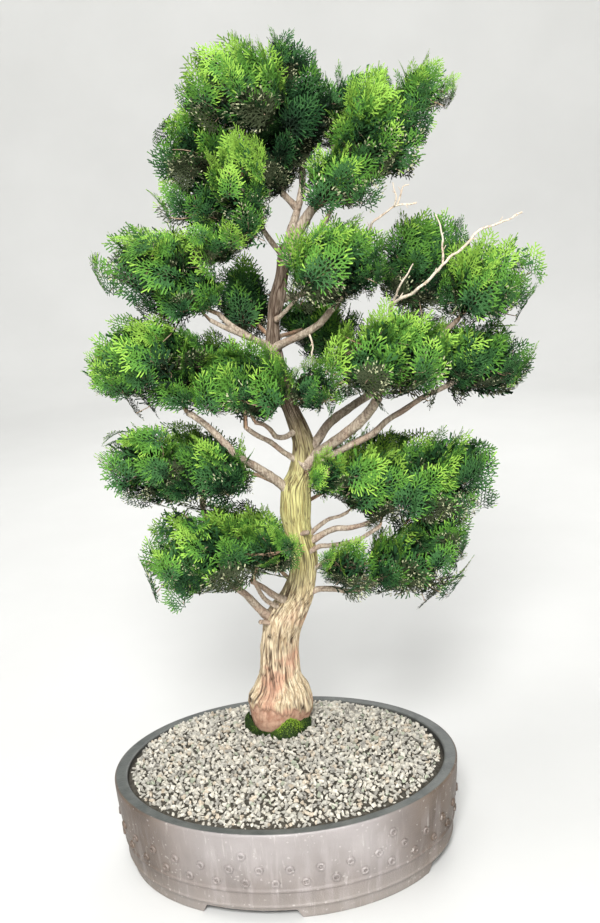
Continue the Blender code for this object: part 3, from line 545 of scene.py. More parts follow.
# %% Press the studs on
STUD_RADIUS, STUD_BEAD, STUD_FLAT = 3.4, 1.75, 1.3
STUD_STEPS, BEAD_STEPS = 24, 10
angle, section = full_turn(STUD_STEPS)[:, None], full_turn(BEAD_STEPS)[None, :]
places = [(height, start + step * run[-1] / STUDS_PER_ROW) for height, start in STUD_ROWS
          for step in range(STUDS_PER_ROW)] + list(LONE_STUDS)
stud_points = []
for number, (height, place) in enumerate(places):
    point, out, along = on_the_wall(height, place)
    ring = STUD_RADIUS * (1 + 0.06 * math.sin(number * 2.4)) + STUD_BEAD * np.cos(section)
    points = point + (ring * np.cos(angle))[..., None] * along + (ring * np.sin(angle))[..., None] * (0, 0, 1)
    stud_points.append(points + (STUD_BEAD * STUD_FLAT * np.sin(section))[..., None] * out)
one_stud = ring_faces(STUD_STEPS + 1, BEAD_STEPS) % (STUD_STEPS * BEAD_STEPS)
stud_faces = copied(one_stud, len(places), STUD_STEPS * BEAD_STEPS)
new_piece("pot_studs", stud_points, stud_faces, stoneware, "pot")

# %% [markdown]
# ## The grit
# The soil is topped with angular grit of 6 to 9 mm, heaped towards the trunk. Thousands of single
# stones are cheap when they are turned copies of a dozen shapes: each shape is the convex hull of
# a few random points, with the flat facets and sharp edges of crushed stone. A near-black bed
# under them closes the gaps and paints the shade between the stones.

# %% Height of the grit
GRIT_EDGE, GRIT_RISE, GRIT_DOME = -1.0, 17.5, 3.5
GRIT_HEAP = (-95.0, 90.0, 62.0, 4.0)             # a heap at the back left: x, y, reach, height
GRIT_LUMP, GRIT_LUMP_SIZE = 2.8, 31.0
GRIT_REACH = POT_LENGTH / 2 - RIM_WIDTH
FOOT = np.array([-7.0, 61.0])                    # middle of the trunk's foot


def grit_share(x, y):
    """0 at the pot's middle and 1 at its inner wall."""
    return np.hypot(x, y / OVAL) / GRIT_REACH


def grit_height(x, y):
    """Height of the heaped, uneven grit above the floor: the same lumps as in the solid model."""
    share = np.minimum(grit_share(x, y), 1)
    heap_x, heap_y, reach, height = GRIT_HEAP
    heap = height * np.exp(-((x - heap_x) ** 2 + (y - heap_y) ** 2) / reach ** 2)
    uneven = np.reshape([noise.noise((a / GRIT_LUMP_SIZE, b / GRIT_LUMP_SIZE, 0))
                         for a, b in zip(np.ravel(x), np.ravel(y))], np.shape(x))
    return (POT_HEIGHT + GRIT_EDGE + GRIT_RISE * (1 - share ** GRIT_DOME) + heap
            + GRIT_LUMP * uneven * (1 - share ** 6))


print("grit stands at", grit_height(np.zeros(1), np.zeros(1)).round(1), "mm in the middle")

# %% Grit colours
GRIT_COLOURS = {                                 # two tones of each stone, and how common it is
    "pale": ((0.60, 0.57, 0.49), (0.47, 0.44, 0.37), 0.44),
    "grey": ((0.46, 0.44, 0.385), (0.36, 0.345, 0.30), 0.34),
    "warm": ((0.52, 0.45, 0.355), (0.41, 0.35, 0.27), 0.10),
    "green": ((0.37, 0.39, 0.30), (0.29, 0.31, 0.24), 0.05),
    "dark": ((0.22, 0.21, 0.185), (0.31, 0.295, 0.26), 0.07)}


def stone_finish(name, light, dark):
    """Crushed stone: two tones in blotches with a fine grain on the facets."""
    stone = Finish("grit_" + name, 0.92, 0.2)
    tones = stone.place(mottle, Colour_A=light, Colour_B=dark, Size=260.0, Softness=0.12)
    dust = stone.place(specks, Size=2400.0, Amount=0.25)
    return stone.wear(tones["Colour"], dust["Height"], 0.0003, 0.6)


grit_finish = {name: stone_finish(name, light, dark) for name, (light, dark, _) in GRIT_COLOURS.items()}
print("grit finishes:", ", ".join(grit_finish))

# %% The bed under the grit
BED_DOWN, BED_STEPS, BED_BOTTOM = 4.0, 96, 90.0
CLOSE = (0.02, 0.02, 1)                          # squeezes a ring together over the pot's middle
bed_rings = []
for share in np.linspace(0.0, 1.0, 26)[1:]:
    reach = (GRIT_REACH - 0.3) * share
    x, y = reach * np.cos(full_turn(BED_STEPS)), reach * np.sin(full_turn(BED_STEPS)) * OVAL
    bed_rings.append(xyz(x, y, grit_height(x, y) - BED_DOWN + lumps(xyz(x, y, 0) / 9) * 1.2))
bottom = bed_rings[-1] * (1, 1, 0) + (0, 0, BED_BOTTOM)
bed_rings = [bed_rings[0] * CLOSE, *bed_rings, bottom, bottom * CLOSE]
# Painted shade: the bed is near black, so that the gaps between the stones look shaded.
bed_finish = stone_finish("bed", (0.075, 0.068, 0.054), (0.04, 0.036, 0.028))
new_piece("grit_bed", *ring_part(bed_rings), bed_finish, "gravel", "gravel")


# %% Shapes of the stones
def stone_shape(seed):
    """Corners and triangles of the hull of a few random points."""
    draw = np.random.default_rng(seed)
    points = unit(draw.normal(size=(11, 3))) * draw.uniform(0.75, 1.1, (11, 1))
    hull = bmesh.new()
    made = [hull.verts.new(point) for point in points]
    result = bmesh.ops.convex_hull(hull, input=made)
    loose = [item for item in result["geom_interior"] if isinstance(item, bmesh.types.BMVert)]
    bmesh.ops.delete(hull, geom=loose, context="VERTS")
    bmesh.ops.triangulate(hull, faces=hull.faces)
    bmesh.ops.recalc_face_normals(hull, faces=hull.faces)
    hull.verts.index_update()
    corners = np.array([vertex.co for vertex in hull.verts])
    triangles = np.array([[vertex.index for vertex in face.verts] for face in hull.faces])
    hull.free()
    return corners, triangles


STONES = [stone_shape(seed) for seed in range(14)]
print("stones of", [len(triangles) for _, triangles in STONES], "facets")

# %% [markdown]
# The stones lie on a jittered honeycomb in two layers. The lower layer fills the gaps, and the
# upper stones tilt at random and stand a little proud, so the heap has real shadows. A stone
# near the wall keeps clear of it.

# %% Scatter the stones
CLEAR_OF_FOOT = 35.0
JITTER = 0.36                                    # how far a stone strays from its place, in pitches


def scatter_stones(draw, pitch, drop, sizes):
    """Places and sizes of one layer of stones, in table millimetres."""
    columns, rows = np.meshgrid(np.arange(-42, 43), np.arange(-42, 43))
    x = (columns + 0.5 * (rows % 2)).ravel() * pitch
    y = rows.ravel() * pitch * 0.87
    x = x + draw.uniform(-JITTER, JITTER, x.size) * pitch
    y = y + draw.uniform(-JITTER, JITTER, x.size) * pitch
    size = draw.choice(sizes, x.size) * draw.uniform(0.85, 1.15, x.size)
    keep = grit_share(x, y) < 1 - (size * 0.62) / (GRIT_REACH * OVAL)
    keep &= np.hypot(x - FOOT[0], y - FOOT[1]) > CLEAR_OF_FOOT
    x, y, size = x[keep], y[keep], size[keep]
    return xyz(x, y, grit_height(x, y) - drop + draw.uniform(-0.8, 1.1, x.size)), size


draw = np.random.default_rng(21)
upper = scatter_stones(draw, 6.3, 1.4, np.array([6.0, 6.8, 7.6, 8.6, 9.8]))
lower = scatter_stones(draw, 6.2, 4.0, np.array([6.0, 6.8, 7.6]))
stone_at, stone_size = (np.concatenate(pair) for pair in zip(upper, lower))
print(len(upper[0]), "stones on top and", len(lower[0]), "below")

# %% Build the grit, one piece for each colour of stone
count = len(stone_at)
colour_of = draw.choice(len(GRIT_COLOURS), count, p=[common for _, _, common in GRIT_COLOURS.values()])
shape_of = draw.integers(0, len(STONES), count)
first = unit(draw.normal(size=(count, 3)))       # three directions at right angles turn each stone
second = unit(np.cross(first, draw.normal(size=(count, 3))))
turns = np.stack([first, second, np.cross(first, second)], axis=2)
stretch = draw.uniform((0.78, 0.66, 0.55), (1.12, 0.92, 0.8), (count, 3))
for number, name in enumerate(GRIT_COLOURS):
    parts = []
    for shape, (corners, triangles) in enumerate(STONES):
        chosen = np.flatnonzero((colour_of == number) & (shape_of == shape))
        local = corners[None] * stretch[chosen][:, None] * (stone_size[chosen] / 2)[:, None, None]
        moved = np.einsum("nij,nkj->nki", turns[chosen], local) + stone_at[chosen][:, None]
        parts.append((moved.reshape(-1, 3), copied(triangles, len(chosen), len(corners))))
    new_piece("grit_" + name, *joined(parts), grit_finish[name], "gravel", smooth=False)

# %% [markdown]
# ## The moss
# Moss has grown round the foot of the trunk in a few cushions that climb the wood, with a low mat
# between them. Each cushion is a swelling of one lumpy ring that thousands of short blades stand
# on, in three greens: painted light makes the blades bright in front, where the light reaches
# them, and painted shade makes them dark at the sides. The mat is highest against the wood and
# falls to the grit.

# %% Moss finishes
# Painted light and shade: the three greens are lit and shaded copies of one moss green.
MOSS_GREENS = {"bright": (0.30, 0.46, 0.040), "mid": (0.110, 0.190, 0.024), "dark": (0.028, 0.050, 0.014)}


def moss_finish(name, green):
    """Moss: one green with a rough, uneven surface."""
    moss = Finish("moss_" + name, 0.95, 0.15)
    darker = (green[0] * 0.6, green[1] * 0.65, green[2] * 0.7)
    tufts = moss.place(mottle, Colour_A=green, Colour_B=darker, Size=300.0)
    bits = moss.place(specks, Size=1500.0, Amount=0.3)
    return moss.wear(tufts["Colour"], bits["Height"], 0.0004, 0.8)


moss_finishes = {name: moss_finish(name, green) for name, green in MOSS_GREENS.items()}
print("moss finishes:", ", ".join(moss_finishes))

# %% Shape of the moss ring
MOSS_RADIUS, MOSS_HALF, MOSS_LOW = 33.0, 9.0, 0.18
MOSS_FRONT = -70.0                               # degrees: where the brightest cushion lies
# Which way a cushion lies, half its width in degrees and how much it rises.
MOSS_CUSHIONS = ((MOSS_FRONT, 23.0, 1.95), (-22.0, 20.0, 1.35), (192.0, 24.0, 1.50), (60.0, 40.0, 0.5))
MAT_STEPS, MAT_ROWS, MAT_DOWN = 180, 18, 5.0


def cushion(angle, toward, half_angle):
    """1 in the middle of a cushion and 0 far from it."""
    away = (np.degrees(angle) - toward + 180.0) % 360.0 - 180.0
    return np.exp(-(away / half_angle) ** 2)


def moss_spot(angle, across):
    """A point of the mat. across runs from -1 at the trunk to 1 at the outer edge."""
    rise = MOSS_LOW + sum(rise * cushion(angle, toward, half) for toward, half, rise in MOSS_CUSHIONS)
    ragged = lumps(xyz(np.cos(angle) * 5.1, np.sin(angle) * 5.1, 5))
    inner = MOSS_RADIUS + 2.0 * np.minimum(rise, 1.8)
    outer = MOSS_RADIUS + 3.0 + 3.6 * rise + 1.8 * ragged + 3.0 * cushion(angle, MOSS_FRONT, 18.0)
    radius = inner + (outer - inner) * (across + 1) / 2
    x, y = FOOT[0] + radius * np.cos(angle), FOOT[1] + radius * np.sin(angle)
    falling = np.sqrt(np.clip(1 - ((across + 1) / 2) ** 2.6, 0, 1))
    height = MOSS_HALF * 1.15 * rise * falling * (0.95 + 0.22 * lumps(xyz(x, y, 0) / 4.5))
    return xyz(x, y, grit_height(x, y) - 1.5 + height)


mat = [moss_spot(full_turn(MAT_STEPS), across) for across in np.linspace(1, -1, MAT_ROWS)]
mat += [mat[-1] - (0, 0, MAT_DOWN), mat[0] - (0, 0, MAT_DOWN), mat[0]]
new_piece("moss_mat", *ring_part(mat), moss_finishes["dark"], "moss", "moss")

# %% Blades of moss
BLADES, BLADE_HALF, BLADE_SINK, BLADE_LEAN = 9000, 0.32, 0.4, 0.42
draw = np.random.default_rng(5)
angle = draw.uniform(0, 2 * math.pi, BLADES)
across = draw.uniform(-0.9, 0.98, BLADES)
root = moss_spot(angle, across) - (0, 0, BLADE_SINK)
lean = draw.normal(size=(BLADES, 3)) * BLADE_LEAN
lean[:, 2] = 1.0
lean += xyz(np.cos(angle), np.sin(angle), 0) * across[:, None] * 0.5
lean = unit(lean)
side = unit(np.cross(lean, draw.normal(size=(BLADES, 3)))) * BLADE_HALF
tall = draw.uniform(1.3, 2.9, BLADES)[:, None]
blades = np.stack([root - side, root + side, root + lean * tall], axis=1)
# Painted light: blades in front, where the light reaches, are dealt the bright green, and those at the sides
# the dark one.
light = 0.14 + 0.85 * cushion(angle, MOSS_FRONT, 26.0) + 0.30 * lumps(root * (1, 1, 0) / 14)
light += draw.uniform(-0.22, 0.22, BLADES)
for name, low, high in (("bright", 0.62, 9), ("mid", 0.30, 0.62), ("dark", -9, 0.30)):
    new_piece("moss_" + name, blades[(light >= low) & (light < high)], None, moss_finishes[name], "moss")

# %% [markdown]
# ## The trunk
# The trunk leans and bends a little, flares at the foot and carries the stringy bark of an old
# cypress: long upright strips with deep cracks between them. A displaced grid follows the bends
# better than a sculpt: rings of points up the trunk, each pushed in or out by noise that is
# stretched along the wood. The depth of each crack is kept with its point, so that the finish
# can paint shade into exactly the same cracks.

# %% Rows of the trunk: height, middle x, middle y, width
TRUNK = np.array([
    (120, -7, 61, 57), (128, -6, 61, 63), (138, -5, 61, 71), (149, -4, 61, 76), (159, -4, 61, 76),
    (167, -4, 60, 73), (175, -1, 60, 64), (183, -1, 60, 56), (192, -2, 60, 50), (204, -1, 60, 47),
    (225, 0, 60, 45), (243, 3, 59, 46), (262, 8, 58, 50), (280, 17, 58, 47), (298, 28, 59, 39),
    (320, 35, 60, 34), (342, 38, 60, 33), (378, 33, 60, 32), (400, 32, 60, 36), (428, 34, 60, 35),
    (447, 42, 60, 30), (464, 46, 60, 28), (480, 46, 60, 25), (500, 41, 60, 22), (520, 34, 61, 20),
    (548, 25, 62, 21), (580, 19, 63, 22), (600, 20, 63, 18), (620, 22, 63, 15), (645, 27, 62, 18),
    (672, 35, 61, 15), (692, 40, 60, 17), (706, 44, 60, 19)], dtype=float)
TRUNK_FOOT, FLARE_TOP = 120.0, 185.0
FLUTES = ((3, 0.05, 0.4), (5, 0.03, 1.2))        # root flutes: how many, how deep, turned by
# Scars and lifted flakes: height, which way (-90 is the front), half height, half angle, depth.
SCARS = ((241, -36, 4.5, 8, -2.8), (224, -108, 9, 5, -1.8), (178, 196, 11, 14, 3.2), (166, 203, 3, 16, -2.2),
         (196, -62, 14, 3.5, -2.2), (250, -84, 20, 3, -1.6), (300, -120, 8, 8, -1.8), (345, -70, 9, 9, -1.6))
print("trunk from", TRUNK[0, 0], "to", TRUNK[-1, 0], "mm high, with", len(SCARS), "scars")


# %% A smooth path
def distances(path):
    """How far along a path each of its points lies."""
    return np.concatenate([[0], np.cumsum(np.linalg.norm(np.diff(path, axis=0), axis=1))])


def smooth_path(points, spacing):
    """Points at an even spacing on a smooth curve through the given ones, and their distances."""
    rows = np.asarray(points, dtype=float)
    padded = np.vstack([rows[:1], rows, rows[-1:]])
    t = np.linspace(0, len(rows) - 1, 40 * (len(rows) - 1) + 1)
    i = np.minimum(t.astype(int), len(rows) - 2)
    f = (t - i)[:, None]
    before, here, after, last = (padded[i + step] for step in range(4))
    dense = 0.5 * (2 * here + (after - before) * f + (2 * before - 5 * here + 4 * after - last) * f ** 2
                   + (3 * here - before - 3 * after + last) * f ** 3)
    gone = distances(dense[:, :3])
    even = np.linspace(0, gone[-1], max(3, int(gone[-1] / spacing) + 1))
    return np.stack([np.interp(even, gone, column) for column in dense.T], axis=1), even


trunk_rows, _ = smooth_path(TRUNK, 1.3)
print("trunk:", len(trunk_rows), "rings")

# %% Strips, cracks and flakes
AROUND = 192
STRIP_REACH = 25.0                               # keeps the strips whole where the foot swells
angle = full_turn(AROUND)
height, middle_x, middle_y, width = (column[:, None] for column in trunk_rows.T)
flare = np.clip(1 - (height - TRUNK_FOOT) / (FLARE_TOP - TRUNK_FOOT), 0, 1)
flutes = sum(deep * np.cos(count * angle[None] + turn) for count, deep, turn in FLUTES)
radius = width / 2 * (1 + flutes * (0.35 + flare))
twist = angle[None] + 0.0016 * (height - TRUNK_FOOT)
reach = np.minimum(radius, STRIP_REACH)
grid = xyz(reach * np.cos(twist), reach * np.sin(twist), height).reshape(-1, 3)
level = grid[:, 2]
strips = lumps(grid / (4.0, 4.0, 75)) + 0.22 * lumps(grid / (2.2, 2.2, 34))
cracks = np.exp(-(strips / 0.12) ** 2) * ramp(lumps(grid / (14, 14, 40) + 60), -0.45, 0.05)
fine_cracks = 0.55 * np.exp(-(lumps(grid / (2.6, 2.6, 80) + 31) / 0.10) ** 2)
flakes = ramp(lumps(grid / (7, 7, 55) + 11), 0.10, 0.3)
print("cracks on", (cracks > 0.5).mean().round(2), "of the trunk")

# %% Push the bark in and out
EDGE_HEIGHT, EDGE_RISE, EDGE_TURN = 148, 15, math.radians(128)    # where the bare foot ends
way_round = np.arctan2(grid[:, 1], grid[:, 0])
edge_of_bark = EDGE_HEIGHT + EDGE_RISE * np.cos(way_round + EDGE_TURN) + 7 * lumps(grid / (7, 7, 400) + 3)
edge_of_bark += 5 * lumps(grid / (2.4, 2.4, 400) + 23)
smooth_foot = ramp(level - edge_of_bark, -3, 3)
depth = np.broadcast_to(np.clip(width / 46, 0.45, 1.1), radius.shape).ravel() * np.clip(smooth_foot, 0.30, 1)
push = depth * (-1.7 * cracks - 0.6 * fine_cracks + 0.7 * np.abs(strips)
                + 0.22 * lumps(grid / (1.6, 1.6, 12)) + 0.9 * flakes)
push += 1.2 * lumps(grid / (20, 20, 34)) + 1.1 * smooth_foot * ramp(-level, -190, -160)
hollow_scar_shade = np.zeros(len(grid))
for scar_height, way, tall, broad, deep in SCARS:
    off = (np.degrees(way_round) - way + 180) % 360 - 180
    share = np.exp(-((level - scar_height) / tall) ** 4 - (off / broad) ** 4)
    push += deep * share
    hollow_scar_shade = np.maximum(hollow_scar_shade, share * (deep < 0))
radius = radius + push.reshape(radius.shape) - 0.25
bark_points = xyz(middle_x + radius * np.cos(angle), middle_y + radius * np.sin(angle), height)
print("bark relief from", push.min().round(2), "to", push.max().round(2), "mm")

# %% [markdown]
# ## Bark finish
# Low on the trunk the weathered strips are pale and tan, with reddish patches where a flake has
# come off, and the swollen foot is bare, smooth wood. Higher up the bark turns greenish and then
# a greyer brown. The cracks, the hollow scars and a band under the bark's edge are darkened with
# painted shade. The tones change with height and in soft blotches, and the fibre streaks run up the wood.

# %% Bark
wood = Finish("stringy_bark", 0.88, 0.2)
strip_tone = wood.place(fibres, Along=22.0, Softness=0.14)["Mask"]
tone = wood.tint((0.42, 0.315, 0.19), (0.74, 0.62, 0.43), strip_tone)
hair_lines = wood.place(fibres, Across=620.0, Along=24.0, Balance=0.62, Softness=0.05)["Mask"]
tone = wood.tint(tone, (0.27, 0.155, 0.090), hair_lines, 0.6)
red_patch = wood.place(mottle, Size=22.0, Balance=0.57, Softness=0.06)["Mask"]
red_low = wood.maths("MULTIPLY", red_patch, wood.height(0.33, 0.22))
tone = wood.tint(tone, (0.52, 0.26, 0.18), red_low, 0.7)
bare_wood = wood.place(mottle, Colour_A=(0.33, 0.175, 0.115), Colour_B=(0.54, 0.35, 0.245), Size=150.0)
tone = wood.tint(tone, bare_wood["Colour"], wood.add("Attribute", {}, attribute_name="bare")["Fac"])
tone = wood.tint(tone, (0.88, 1.0, 0.62), wood.height(0.27, 0.36), blend_type="MULTIPLY")
high_streak = wood.place(fibres, Across=260.0, Along=30.0, Balance=0.52, Softness=0.16)["Mask"]
high_tone = wood.tint((0.105, 0.075, 0.052), (0.30, 0.235, 0.18), high_streak)
tone = wood.tint(tone, high_tone, wood.height(0.40, 0.54))
# Painted shade: the crack attribute darkens the cracks, the hollow scars and a band under the bark's edge.
tone = wood.tint(tone, (0.055, 0.032, 0.020), wood.add("Attribute", {}, attribute_name="crack")["Fac"])
bark_grain = wood.place(fibres, Across=900.0, Along=70.0, Softness=0.3)["Mask"]
bark = wood.wear(tone, bark_grain, 0.0010, 0.8)
print("bark:", len(wood.tree.nodes), "nodes")

# %% The trunk piece
foot_middle, top_middle = bark_points[0].mean(axis=0), bark_points[-1].mean(axis=0)
top_ring = top_middle + (bark_points[-1] - top_middle) * 0.02
trunk_rings = [np.tile(foot_middle, (AROUND, 1)), *bark_points, top_ring]
trunk = new_piece("trunk_bark", *ring_part(trunk_rings), bark, "bark", "trunk")
# Painted shade in the cracks, under the bark's edge and in the hollow scars.
painted_shade_share = np.maximum(cracks, fine_cracks * 1.3) * (0.20 + 0.80 * smooth_foot)
under_edge = np.exp(-((level - edge_of_bark + 2) / 1.3) ** 2) * 0.5    # shade under the bark's edge
painted_shade_share = np.clip(np.maximum(painted_shade_share, under_edge) + 0.8 * hollow_scar_shade, 0, 1)
for title, values, at_foot in (("crack", painted_shade_share, 0), ("bare", 1 - smooth_foot, 1)):
    whole = np.concatenate([np.full(AROUND, at_foot), values, np.zeros(AROUND)])
    kept = trunk.data.attributes.new(title, "FLOAT", "POINT")
    kept.data.foreach_set("value", whole.astype(np.float32))

# %% [markdown]
# ## The boughs
# Slender boughs leave the trunk with a small collar and rise in easy bends. Each is a tapering
# tube along a smooth path: rings of points that are carried along without twisting, swollen
# at the root and roughened by the same kind of noise as the trunk. They are one piece, because
# they share one bark.

# %% Paths of the limbs: radius at the root and the tip, then the path
LIMBS = {
    "bough_left_1": (5.5, 3.6, [(-5, 55, 266), (-16, 45, 280), (-32, 30, 307), (-48, 12, 330)]),
    "bough_left_2": (3.0, 2.1, [(8, 50, 279), (-10, 35, 298), (-17, 18, 318), (-21, 2, 337)]),
    "bough_left_3": (4.2, 3.0, [(15, 50, 288), (0, 38, 302), (-12, 28, 317), (-24, 20, 328)]),
    "bough_left_low": (4.8, 3.0, [(30, 70, 325), (3, 85, 334), (-29, 85, 349), (-50, 62, 373),
        (-64, 38, 394), (-72, 22, 415), (-72, 15, 432)]),
    "bough_left_long": (5.9, 3.4, [(29, 60, 418), (14, 50, 437), (-7, 35, 459), (-26, 20, 476),
        (-40, 15, 494), (-54, 15, 511), (-68, 18, 524), (-80, 22, 532)]),
    "bough_left_inner_1": (3.5, 2.6, [(41, 60, 456), (23, 45, 473), (9, 30, 490), (-6, 15, 503),
        (-16, 5, 514)]),
    "bough_left_inner_2": (3.5, 2.3, [(42, 60, 497), (29, 45, 492), (17, 30, 495), (10, 18, 507),
        (3, 8, 516), (-5, -2, 521)]),
    "bough_upper_left_1": (4.5, 2.8, [(22, 60, 589), (7, 55, 599), (-10, 50, 610), (-25, 50, 621),
        (-38, 50, 635)]),
    "bough_upper_left_2": (2.8, 2.3, [(-5, 51, 607), (-18, 44, 613), (-33, 38, 622), (-47, 36, 631)]),
    "bough_right_bottom_1": (4.2, 2.1, [(32, 60, 290), (52, 50, 301), (71, 30, 308), (88, 10, 312),
        (109, 0, 320), (130, 0, 330)]),
    "bough_right_bottom_2": (3.0, 2.1, [(39, 60, 318), (54, 50, 330), (65, 35, 344), (72, 20, 351)]),
    "bough_right_low_1": (3.0, 1.8, [(39, 60, 360), (54, 55, 375), (69, 50, 387), (83, 45, 392),
        (92, 40, 398)]),
    "bough_right_low_2": (4.2, 2.4, [(39, 60, 354), (56, 52, 366), (75, 44, 377), (95, 36, 380),
        (113, 30, 386), (132, 30, 395), (145, 32, 402)]),
    "bough_right_low_3": (3.0, 2.2, [(38, 55, 342), (55, 45, 356), (69, 33, 361), (86, 20, 367),
        (102, 13, 373), (116, 9, 382), (127, 8, 389)]),
    "bough_right_tip": (5.8, 3.2, [(49, 60, 468), (63, 60, 481), (76, 65, 497), (96, 75, 509),
        (138, 90, 531), (182, 90, 564), (211, 75, 590), (229, 60, 609)]),
    "bough_right_front": (6.9, 4.8, [(45, 55, 455), (67, 48, 471), (90, 33, 490), (108, 18, 507),
        (122, 3, 525), (130, -10, 541)]),
    "bough_right_under": (4.7, 2.6, [(48, 56, 446), (69, 50, 460), (99, 40, 477), (125, 32, 491),
        (141, 30, 505), (159, 30, 515), (185, 35, 529), (211, 45, 537), (233, 50, 545)]),
    "bough_upper_right_1": (4.5, 3.4, [(16, 60, 589), (32, 50, 598), (50, 35, 607), (71, 20, 620),
        (84, 10, 635), (93, 5, 646), (102, 0, 657)]),
    "bough_upper_right_2": (2.3, 1.7, [(25, 55, 624), (34, 45, 632), (43, 35, 642), (51, 25, 651),
        (60, 15, 664)]),
    "bough_upper_back": (4.0, 2.8, [(29, 65, 645), (49, 90, 645), (90, 120, 650), (134, 140, 659),
        (161, 145, 664)]),
    "leader_right_1": (6.8, 4.5, [(41, 60, 693), (51, 60, 710), (62, 55, 728), (74, 50, 743), (88, 45, 752),
        (101, 40, 759)]),
    "leader_right_2": (3.4, 2.2, [(37, 57, 686), (54, 45, 698), (70, 37, 711), (82, 28, 725),
        (92, 20, 741)]),
    "leader_left": (3.4, 2.3, [(43, 60, 686), (33, 54, 700), (25, 40, 713), (18, 25, 727), (17, 5, 743),
        (15, -8, 756)]),
    "leader_middle": (5.1, 3.4, [(42, 64, 694), (47, 80, 715), (57, 95, 740), (64, 102, 764),
        (66, 107, 789), (65, 110, 806)]),
    "leader_crown_left": (3.5, 2.9, [(58, 96, 742), (44, 86, 758), (27, 72, 781), (12, 57, 809),
        (2, 44, 834)]),
    "leader_back": (3.9, 2.8, [(64, 54, 730), (79, 85, 748), (93, 118, 774), (104, 142, 802),
        (110, 152, 820)]),
    "dead_twig_right": (2.4, 1.0, [(166, 90, 552), (160, 64, 592), (151, 38, 628), (159, 20, 641),
        (172, 10, 648), (186, 0, 659), (200, -10, 674), (210, -15, 685), (226, -20, 696), (240, -20, 711),
        (256, -20, 717), (274, -15, 721), (289, -10, 728)]),
    "dead_twig_top": (2.0, 0.9, [(132, 139, 658), (134, 100, 682), (134, 60, 703), (134, 30, 722),
        (147, 20, 733), (161, 15, 742), (173, 10, 742), (182, 10, 744)]),
    "dead_twig_hanging": (1.3, 0.8, [(60, 28, 614), (63, 23, 600), (62, 21, 590), (61, 20, 580)])}
BOUGHS = [name for name in LIMBS if not name.startswith("dead")]
DEAD_TWIGS = [name for name in LIMBS if name.startswith("dead")]
print(len(BOUGHS), "boughs and", len(DEAD_TWIGS), "dead twigs")


# %% A tube along a path
def carried_frames(path):
    """The direction along a path and two sideways directions that turn as little as possible."""
    along = unit(np.gradient(path, axis=0))
    sides = [np.cross(along[0], (0.3, 0.9, 0.2))]
    for step in along:
        sides.append(unit(sides[-1] - step * sides[-1].dot(step)))
    sides = np.array(sides[1:])
    return along, sides, np.cross(along, sides)


def limb_tube(path, radius, around, relief, seed):
    """A tube round a path, roughened by noise and closed to a point at both ends."""
    along, side, other = carried_frames(path)
    cos, sin = np.cos(full_turn(around)), np.sin(full_turn(around))
    gone = distances(path)
    reach = radius[:, None]
    local = xyz(cos * reach / 2.4 + seed, sin * reach / 2.4, gone[:, None] / 16).reshape(-1, 3)
    rough = (lumps(local) + 0.5 * lumps(local * (2.1, 2.1, 3))).reshape(len(path), around)
    swell = lumps(xyz(gone / 22, seed, 0))[:, None] * 0.10
    out = cos[:, None] * side[:, None] + sin[:, None] * other[:, None]
    rings = path[:, None] + out * (reach * (1 + swell + relief * rough))[..., None]
    first, last = rings[0].mean(axis=0), rings[-1].mean(axis=0) + along[-1] * radius[-1] * 0.5
    return ring_part([first + (rings[0] - first) * 0.02, *rings, last + (rings[-1] - last) * 0.02])


# %% Bough bark
def limb_finish(name, dark, light, red, crack):
    """Bark or bare wood: fibre streaks between two tones, some red, and dark flecks."""
    limb = Finish(name, 0.86, 0.2)
    streaks = limb.place(fibres, Across=420.0, Along=60.0, Softness=0.2)["Mask"]
    patches = limb.place(mottle, Size=38.0, Balance=0.56, Softness=0.08)["Mask"]
    flecks = limb.place(specks, Size=520.0, Amount=0.16)["Mask"]
    colour = limb.tint(limb.tint(dark, light, streaks), red, patches, 0.55)
    return limb.wear(limb.tint(colour, crack, flecks, 0.5), streaks, 0.0005, 0.7)


bough_bark = limb_finish("bough_bark", (0.23, 0.175, 0.130), (0.50, 0.425, 0.330), (0.35, 0.235, 0.170),
                         (0.12, 0.08, 0.06))
print("bough bark:", len(bough_bark.node_tree.nodes), "nodes")

# %% Build the boughs
COLLAR, COLLAR_LENGTH = 0.7, 8.0
STUBS = [[(-6, 44, 264), (-14, 35, 270), (-19, 30, 273)], [(36, 48, 372), (41, 40, 376), (45, 35, 378)]]


def tapered_path(root_radius, tip_radius, points, spacing, taper):
    """A limb's smooth path, its distances and its radius at each point."""
    path, gone = smooth_path(points, spacing)
    return path, gone, root_radius + (tip_radius - root_radius) * (gone / gone[-1]) ** taper


tubes = []
for number, name in enumerate(BOUGHS):
    path, gone, radius = tapered_path(*LIMBS[name], 2.4, 0.85)
    radius *= 1 + COLLAR * np.exp(-gone / COLLAR_LENGTH)
    tubes.append(limb_tube(path, radius, 16, 0.16, 3.7 * number))
for number, points in enumerate(STUBS):
    path, gone, radius = tapered_path(3.4, 2.5, points, 1.6, 1)
    tubes.append(limb_tube(path, radius, 14, 0.28, 60 + number))
new_piece("boughs", *joined(tubes), bough_bark, "bough_bark", *BOUGHS)

# %% [markdown]
# ## Dead twigs
# Three dry, leafless twigs reach out past the leaves. Dead wood bleaches to a pale tan, gets
# thinner and kinks at each old bud, so these paths are shaken a little and carry short spurs.

